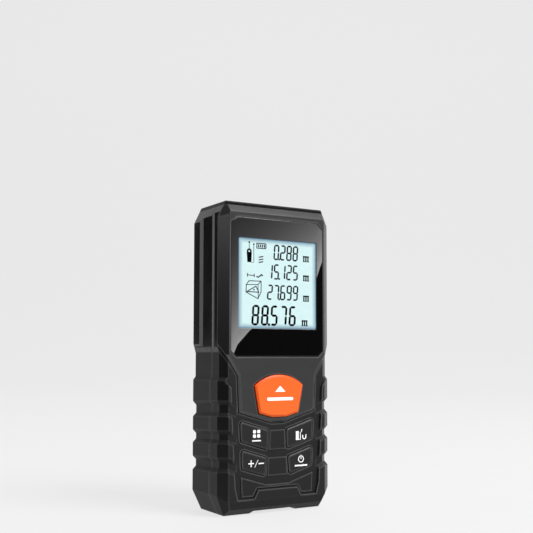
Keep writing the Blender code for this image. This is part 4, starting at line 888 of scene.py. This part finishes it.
class AddDisplay(MeterOperator, bpy.types.Operator):
    """Add the lit display with its four readings and its signs"""
    bl_idname = "meter.add_display"
    bl_label = "Display"

    def add_panel(self):
        gap = 0.03 * MM
        front = octagon(VIEW_LEFT + gap, VIEW_RIGHT - gap, VIEW_LOW + gap, VIEW_HIGH - gap,
                        0.43 * MM, 0.43 * MM)
        panel = slab("display_panel", front, DISPLAY_FACE_Y, LCD_HIGH.y)
        rounded_edges(panel, 0.05 * MM, 2, 50)
        seat(panel, "housing", "display_glass", FINISHES["display_glass"], "lcd_panel")

    def segment(self, name, length, width):
        half, point = length / 2, width / 2
        return slab(name, [(-half, 0), (-half + point, -point), (half - point, -point),
                           (half, 0), (half - point, point), (-half + point, point)],
                    self.near_y, self.far_y)

    def lean(self, base):
        """Leans a digit to the right about its base."""
        slope = math.tan(sizes().digit_slant)
        matrix = Matrix.Identity(4)
        matrix[0][2] = slope
        matrix[0][3] = -slope * base
        return matrix

    def add_reading(self, parts, digits, point_after, left, base, width, height, pitch,
                    stroke, unit):
        left, base, width, height, pitch, stroke = (
            value * MM for value in (left, base, width, height, pitch, stroke))
        gap = 0.07 * MM
        across = self.segment("across", width - stroke - gap, stroke)
        upright = self.segment("upright", (height - stroke) / 2 - gap, stroke)
        lean = self.lean(base)
        for place, digit in enumerate(digits):
            for key in SEGMENTS_LIT[digit]:
                share_x, share_z, stands = SEGMENT_PLACES[key]
                x = left + place * pitch + stroke / 2 + share_x * (width - stroke)
                z = base + stroke / 2 + share_z * (height - stroke)
                turn = Matrix.Rotation(math.radians(90), 4, "Y") if stands else Matrix()
                template = upright if stands else across
                parts.append(copy_of(template, lean @ Matrix.Translation((x, 0, z)) @ turn))
        point_x = left + point_after * pitch + width + (pitch - width) / 2
        self.marks.block(point_x - 0.55 * stroke, base, point_x + 0.55 * stroke,
                         base + 1.0 * stroke)
        discard(across)
        discard(upright)
        self.add_unit(unit[0] * MM, unit[1] * MM)

    def add_unit(self, x, z):
        """The metre sign: three uprights with feet under one bar."""
        mark, wide, high = self.marks, 2.6 * MM, 2.25 * MM
        stem = 0.54 * MM
        mark.block(x, z + high - stem, x + wide, z + high)
        for share in (0.14, 0.5, 0.86):
            middle = x + share * wide
            mark.block(middle - stem / 2, z, middle + stem / 2, z + high)
            mark.block(middle - 0.8 * stem, z, middle + 0.8 * stem, z + 0.5 * stem)

    def add_signs(self):
        """The signs left of the readings: the meter and its beam, the cell, and the modes."""
        mark = self.marks

        def at(*pairs):
            return [(x * MM, z * MM) for x, z in pairs]

        mark.outline(at((-12.75, 90.0), (-11.15, 90.0), (-10.95, 93.6), (-13.05, 93.6)))
        mark.arc(-12.0 * MM, 94.0 * MM, 0.66 * MM, 0.60 * MM, 0, 360)
        mark.path(at((-12.0, 94.7), (-12.0, 97.0)), 0.20 * MM)
        mark.dot(-12.0 * MM, 97.25 * MM, 0.34 * MM)
        mark.dot(-10.1 * MM, 96.6 * MM, 0.32 * MM)
        for step in range(13):
            z = (90.3 + 0.48 * step) * MM
            mark.block(-10.26 * MM, z, -9.98 * MM, z + 0.34 * MM)
        mark.path(at((-10.2, 90.0), (-11.2, 90.0)), 0.16 * MM)

        mark.path(at((-8.85, 95.3), (-5.25, 95.3), (-5.0, 95.6), (-5.0, 96.75),
                     (-5.25, 97.05), (-8.85, 97.05), (-8.85, 95.3)), 0.34 * MM)
        for step in range(4):
            x = (-8.35 + 0.82 * step) * MM
            mark.block(x, 95.65 * MM, x + 0.46 * MM, 96.7 * MM)

        for step in range(3):
            z = (90.1 + 0.95 * step) * MM
            mark.path([(-7.9 * MM, z), (-6.3 * MM, z + 0.35 * MM)], 0.40 * MM)

        mark.strokes(
            (0.30, (-12.7, 85.35), (-9.9, 85.25)),
            (0.32, (-12.7, 84.85), (-12.7, 85.85)),
            (0.32, (-9.9, 84.75), (-9.9, 85.75)),
            (0.42, (-8.9, 84.9), (-8.2, 84.7), (-7.1, 85.55), (-6.4, 85.4)),
            (0.32, (-7.35, 85.15), (-6.9, 85.9)),
            (0.30, (-12.05, 83.25), (-7.05, 83.3), (-7.05, 79.4), (-8.35, 76.9),
             (-13.3, 79.15), (-13.2, 81.8), (-12.05, 83.25)),
            (0.26, (-13.2, 81.8), (-8.35, 82.05), (-7.05, 83.3)),
            (0.26, (-8.35, 82.05), (-8.2, 77.0)),
            (0.34, (-12.9, 79.35), (-9.2, 81.4), (-8.0, 79.25), (-12.9, 79.35)))
        mark.dot(-10.0 * MM, 80.1 * MM, 0.30 * MM)

    def execute(self, context):
        self.near_y = DISPLAY_FACE_Y - 1.6 * MARK_DEPTH
        self.far_y = DISPLAY_FACE_Y - 0.2 * MARK_DEPTH
        self.add_panel()
        self.marks = Marks(self.near_y, self.far_y)
        parts = []
        for reading in READINGS:
            self.add_reading(parts, *reading)
        self.marks.parts.extend(parts)
        self.add_signs()
        signs = self.marks.piece("display_marks")
        seat(signs, "housing", "display_glass", FINISHES["display_ink"])
        return {"FINISHED"}


class AddKeySigns(MeterOperator, bpy.types.Operator):
    """Print the white signs on the keys"""
    bl_idname = "meter.add_key_signs"
    bl_label = "Key signs"

    def printed(self, face_y):
        return Marks(face_y - sizes().sign_height, face_y + 0.5 * sizes().sign_height)

    def finish(self, marks, name, body, slot):
        seat(marks.piece(name), body, slot, FINISHES["sign_white"])

    def start_sign(self):
        marks = self.printed(START_FACE_Y + sizes().sign_height)
        marks.outline([(-1.97 * MM, 43.3 * MM), (2.43 * MM, 43.3 * MM), (0.23 * MM, 45.5 * MM)])
        marks.line((-4.3 * MM, 40.75 * MM), (4.75 * MM, 40.75 * MM), 1.15 * MM)
        for x in (-4.75 * MM, 5.2 * MM):
            marks.dot(x, 40.75 * MM, 0.575 * MM)
        self.finish(marks, "start_key_sign", "start_key", "start_orange")

    def function_sign(self):
        marks = self.printed(KEY_FACE_Y)
        for x in (-9.66, -7.94):
            for z in (27.72, 29.28):
                marks.rounded_block(x * MM, z * MM, 0.60 * MM, 0.32 * MM)
        marks.strokes((0.45, (-10.45, 26.05), (-7.2, 26.05)))
        self.finish(marks, "function_key_sign", "function_key", "key_rubber")

    def reference_sign(self):
        marks = self.printed(KEY_FACE_Y)
        marks.block(7.8 * MM, 25.5 * MM, 9.0 * MM, 28.7 * MM)
        marks.strokes((0.30, (9.75, 25.75), (9.75, 28.2)), (0.30, (9.1, 25.65), (9.8, 25.65)),
                      (0.34, (10.15, 28.5), (10.4, 29.3)), (0.40, (10.75, 27.1), (10.75, 26.5)))
        marks.arc(11.45 * MM, 26.5 * MM, 0.70 * MM, 0.40 * MM, 180, 360)
        marks.strokes((0.40, (12.15, 26.5), (12.15, 27.2)))
        self.finish(marks, "reference_key_sign", "reference_key", "key_rubber")

    def plus_minus_sign(self):
        marks = self.printed(KEY_FACE_Y)
        marks.strokes((0.40, (-12.0, 18.1), (-10.1, 18.1)),
                      (0.40, (-11.05, 17.05), (-11.05, 19.15)),
                      (0.20, (-9.55, 16.7), (-8.2, 19.2)), (0.40, (-7.85, 17.95), (-5.95, 17.95)))
        self.finish(marks, "plus_minus_key_sign", "plus_minus_key", "key_rubber")

    def power_sign(self):
        marks = self.printed(KEY_FACE_Y)
        marks.arc(10.0 * MM, 18.5 * MM, 1.10 * MM, 0.34 * MM, 118, 422, steps=26)
        marks.strokes((0.34, (10.0, 18.55), (10.0, 19.85)), (0.55, (7.5, 16.2), (12.5, 16.2)))
        self.finish(marks, "power_key_sign", "power_key", "key_rubber")

    def execute(self, context):
        self.start_sign()
        self.function_sign()
        self.reference_sign()
        self.plus_minus_sign()
        self.power_sign()
        return {"FINISHED"}


# ---- Operators: the studio ---------------------------------------------------------------

CAMERA_PLACE = Vector((-163.3, -281.4, 55.8)) * MM
CAMERA_AZIMUTH = math.radians(31.23)
CAMERA_PITCH = math.radians(4.16)
CAMERA_LENS = 58.25
CAMERA_SHIFT = (-0.0224, 0.0525)
STAGE_GLOW = 5.6
BRIGHTEST_CARD = 8.0
WORLD_LIGHT, WORLD_SEEN = 0.27, 0.55


class AddStage(MeterOperator, bpy.types.Operator):
    """Set up the pale sweep, the softboxes, the reflector card and the camera"""
    bl_idname = "meter.add_stage"
    bl_label = "Stage"

    def add_sweep(self):
        """A floor that curves up into a backdrop behind the meter."""
        pick_nothing()
        bpy.ops.mesh.primitive_plane_add(size=1)
        sweep = bpy.context.object
        sweep.name = sweep.data.name = "sweep"
        half, front, back, height = 3.0, -2.2, 1.5, 2.4
        for vertex, (x, y) in zip(sweep.data.vertices,
                                  ((-half, front), (half, front), (-half, back), (half, back))):
            vertex.co = (x, y, 0)
        edit_all(sweep)
        bpy.ops.mesh.select_all(action="DESELECT")
        leave_edit()
        for edge in sweep.data.edges:
            edge.select = all(sweep.data.vertices[i].co.y > 0 for i in edge.vertices)
        bpy.ops.object.mode_set(mode="EDIT")
        bpy.ops.mesh.select_mode(type="EDGE")
        bpy.ops.mesh.extrude_region_move(TRANSFORM_OT_translate={"value": (0, 0, height)})
        leave_edit()
        apply_modifier(sweep, "BEVEL", width=0.7, segments=14, limit_method="ANGLE")
        sweep.data.transform(Matrix.Rotation(-CAMERA_AZIMUTH, 4, "Z"))
        pick(sweep)
        bpy.ops.object.shade_smooth()
        made, tree, shader = blank_material("stage")
        grain = placed_group(tree, GROUPS["grain"], Scale=60.0)
        tone = colours().stage
        base = mixed(tree, grain.outputs["Smudge"], scaled(tone, 0.995), scaled(tone, 1.005))
        tree.links.new(base, shader.inputs["Base Color"])
        tree.links.new(base, shader.inputs["Emission Color"])
        shader.inputs["Emission Strength"].default_value = STAGE_GLOW
        shader.inputs["Roughness"].default_value = 0.8
        shader.inputs["Specular IOR Level"].default_value = 0.1
        sweep.data.materials.append(made)

    def add_card(self, name, corners, dark, bright, line, fade):
        """A card seen only in gloss, whose glow is graded away from a line across it.

        Its corners are (x, y, z) in millimetres. The glow is bright on the line. With a
        positive fade it falls to dark above the line, and with a negative one below it.
        """
        pick_nothing()
        bpy.ops.mesh.primitive_circle_add(vertices=len(corners), fill_type="NGON")
        card = bpy.context.object
        card.name = card.data.name = name
        card.location = (0, 0, 0)
        for vertex, corner in zip(card.data.vertices, corners):
            vertex.co = Vector(corner) * MM
        made = bpy.data.materials.new(name)
        made.use_nodes = True
        tree = made.node_tree
        tree.nodes.clear()
        glow = tree.nodes.new("ShaderNodeEmission")
        out = tree.nodes.new("ShaderNodeOutputMaterial")
        tree.links.new(glow.outputs[0], out.inputs["Surface"])
        start, end = (Vector(point) for point in line)
        along = (end - start).normalized()
        up = (Vector((0, 0, 1)) - along * along.z).normalized()
        place = tree.nodes.new("ShaderNodeTexCoord").outputs["Object"]
        dot = tree.nodes.new("ShaderNodeVectorMath")
        dot.operation = "DOT_PRODUCT"
        tree.links.new(place, dot.inputs[0])
        dot.inputs[1].default_value = up / MM
        away = math_node(tree, "SUBTRACT", dot.outputs["Value"], up.dot(start))
        power = math_node(tree, "EXPONENT", math_node(tree, "MULTIPLY", away, -1 / fade))
        strength = math_node(tree, "MULTIPLY_ADD", power, bright - dark, dark)
        limited = math_node(tree, "MINIMUM", strength, BRIGHTEST_CARD)
        tree.links.new(limited, glow.inputs["Strength"])
        card.data.materials.append(made)
        card.visible_camera = card.visible_shadow = False
        card.visible_diffuse = card.visible_transmission = False

    def add_light(self, name, place, target, size, power):
        lamp = bpy.data.lights.new(name, "AREA")
        lamp.shape = "RECTANGLE"
        lamp.size, lamp.size_y = size
        lamp.energy = power
        obj = bpy.data.objects.new(name, lamp)
        bpy.context.scene.collection.objects.link(obj)
        obj.location = place
        aim = Vector(target) - Vector(place)
        obj.rotation_euler = aim.to_track_quat("-Z", "Y").to_euler()

    def add_camera(self):
        lens = bpy.data.cameras.new("camera")
        lens.lens = CAMERA_LENS
        lens.shift_x, lens.shift_y = CAMERA_SHIFT
        lens.clip_start = 0.01
        camera = bpy.data.objects.new("camera", lens)
        bpy.context.scene.collection.objects.link(camera)
        camera.location = CAMERA_PLACE
        camera.rotation_euler = (math.radians(90) + CAMERA_PITCH, 0, -CAMERA_AZIMUTH)
        bpy.context.scene.camera = camera

    def add_cards(self):
        """The reflector over the window, the flag under it, and the flags on the left."""
        y = CAMERA_PLACE.y / MM
        edge = [(201.9, y, 122.7), (139.3, y, 75.8), (125.5, y, 59.9)]
        reflector = [edge[0], edge[1], edge[2], (112, y, 44), (70, y, 60), (70, y, 200),
                     (215, y, 200), (215, y, 132)]
        self.add_card("reflector", reflector, 0.12, 4.2, (edge[2], edge[0]), 25.0)
        flag = [edge[0], (215, y, 132), (215, y, 50), (112, y, 44), edge[2], edge[1]]
        self.add_card("window_flag", flag, 0.0, 0.0, (edge[2], edge[0]), 26.0)
        self.add_card("side_flag", [(-163, 205, 57), (-163, 365, 57), (-163, 365, 200),
                                    (-163, 205, 200)], 0.0, 0.0,
                      ((-163, 205, 57), (-163, 365, 57)), 30.0)
        low, high = -60, 190
        self.add_card("bevel_flag", [(-320, -120, low), (-225, -265, low),
                                     (-225, -265, high), (-320, -120, high)], 0.05, 1.3,
                      ((-320, -120, 150), (-225, -265, 150)), -35.0)

    def execute(self, context):
        self.add_sweep()
        self.add_cards()
        self.add_light("key softbox", (0.35, -0.62, 0.80), (0, 0, 0.05), (0.5, 0.5), 12.0)
        self.add_light("front softbox", (0.62, -1.03, 0.12), (0, 0, 0.05), (0.9, 0.9), 3.0)
        self.add_light("left softbox", (-0.62, 0.38, 0.14), (0, 0, 0.06), (0.25, 0.5), 1.0)
        self.add_camera()
        self.add_world()
        bpy.context.scene.view_settings.view_transform = "Standard"
        return {"FINISHED"}

    def add_world(self):
        """A pale surround that gives less light than it shows."""
        world = bpy.data.worlds.new("studio")
        world.use_nodes = True
        tree = world.node_tree
        background = tree.nodes["Background"]
        seen = tree.nodes.new("ShaderNodeLightPath").outputs["Is Camera Ray"]
        strength = math_node(tree, "MULTIPLY_ADD", seen, WORLD_SEEN, WORLD_LIGHT)
        tree.links.new(strength, background.inputs["Strength"])
        background.inputs["Color"].default_value = (1, 1, 1, 1)
        bpy.context.scene.world = world


OPERATORS = (AddFinishes, AddCasing, AddKeys, AddWindow, AddDisplay, AddKeySigns, AddStage)


class MeterPanel(bpy.types.Panel):
    bl_idname = "VIEW3D_PT_meter"
    bl_label = "Laser distance meter"
    bl_space_type = "VIEW_3D"
    bl_region_type = "UI"
    bl_category = "Meter"

    def draw(self, context):
        layout = self.layout
        for group in (context.scene.meter_sizes, context.scene.meter_colours):
            box = layout.box()
            for name in group.__annotations__:
                box.prop(group, name)
        for operator in OPERATORS:
            layout.operator(operator.bl_idname)


CLASSES = (MeterColours, MeterSizes, *OPERATORS, MeterPanel)


def register():
    for cls in CLASSES:
        bpy.utils.register_class(cls)
    bpy.types.Scene.meter_colours = PointerProperty(type=MeterColours)
    bpy.types.Scene.meter_sizes = PointerProperty(type=MeterSizes)


def unregister():
    del bpy.types.Scene.meter_sizes
    del bpy.types.Scene.meter_colours
    for cls in reversed(CLASSES):
        bpy.utils.unregister_class(cls)


def main():
    register()
    for operator in OPERATORS:
        group, name = operator.bl_idname.split(".")
        getattr(getattr(bpy.ops, group), name)()


if __name__ == "__main__":
    main()
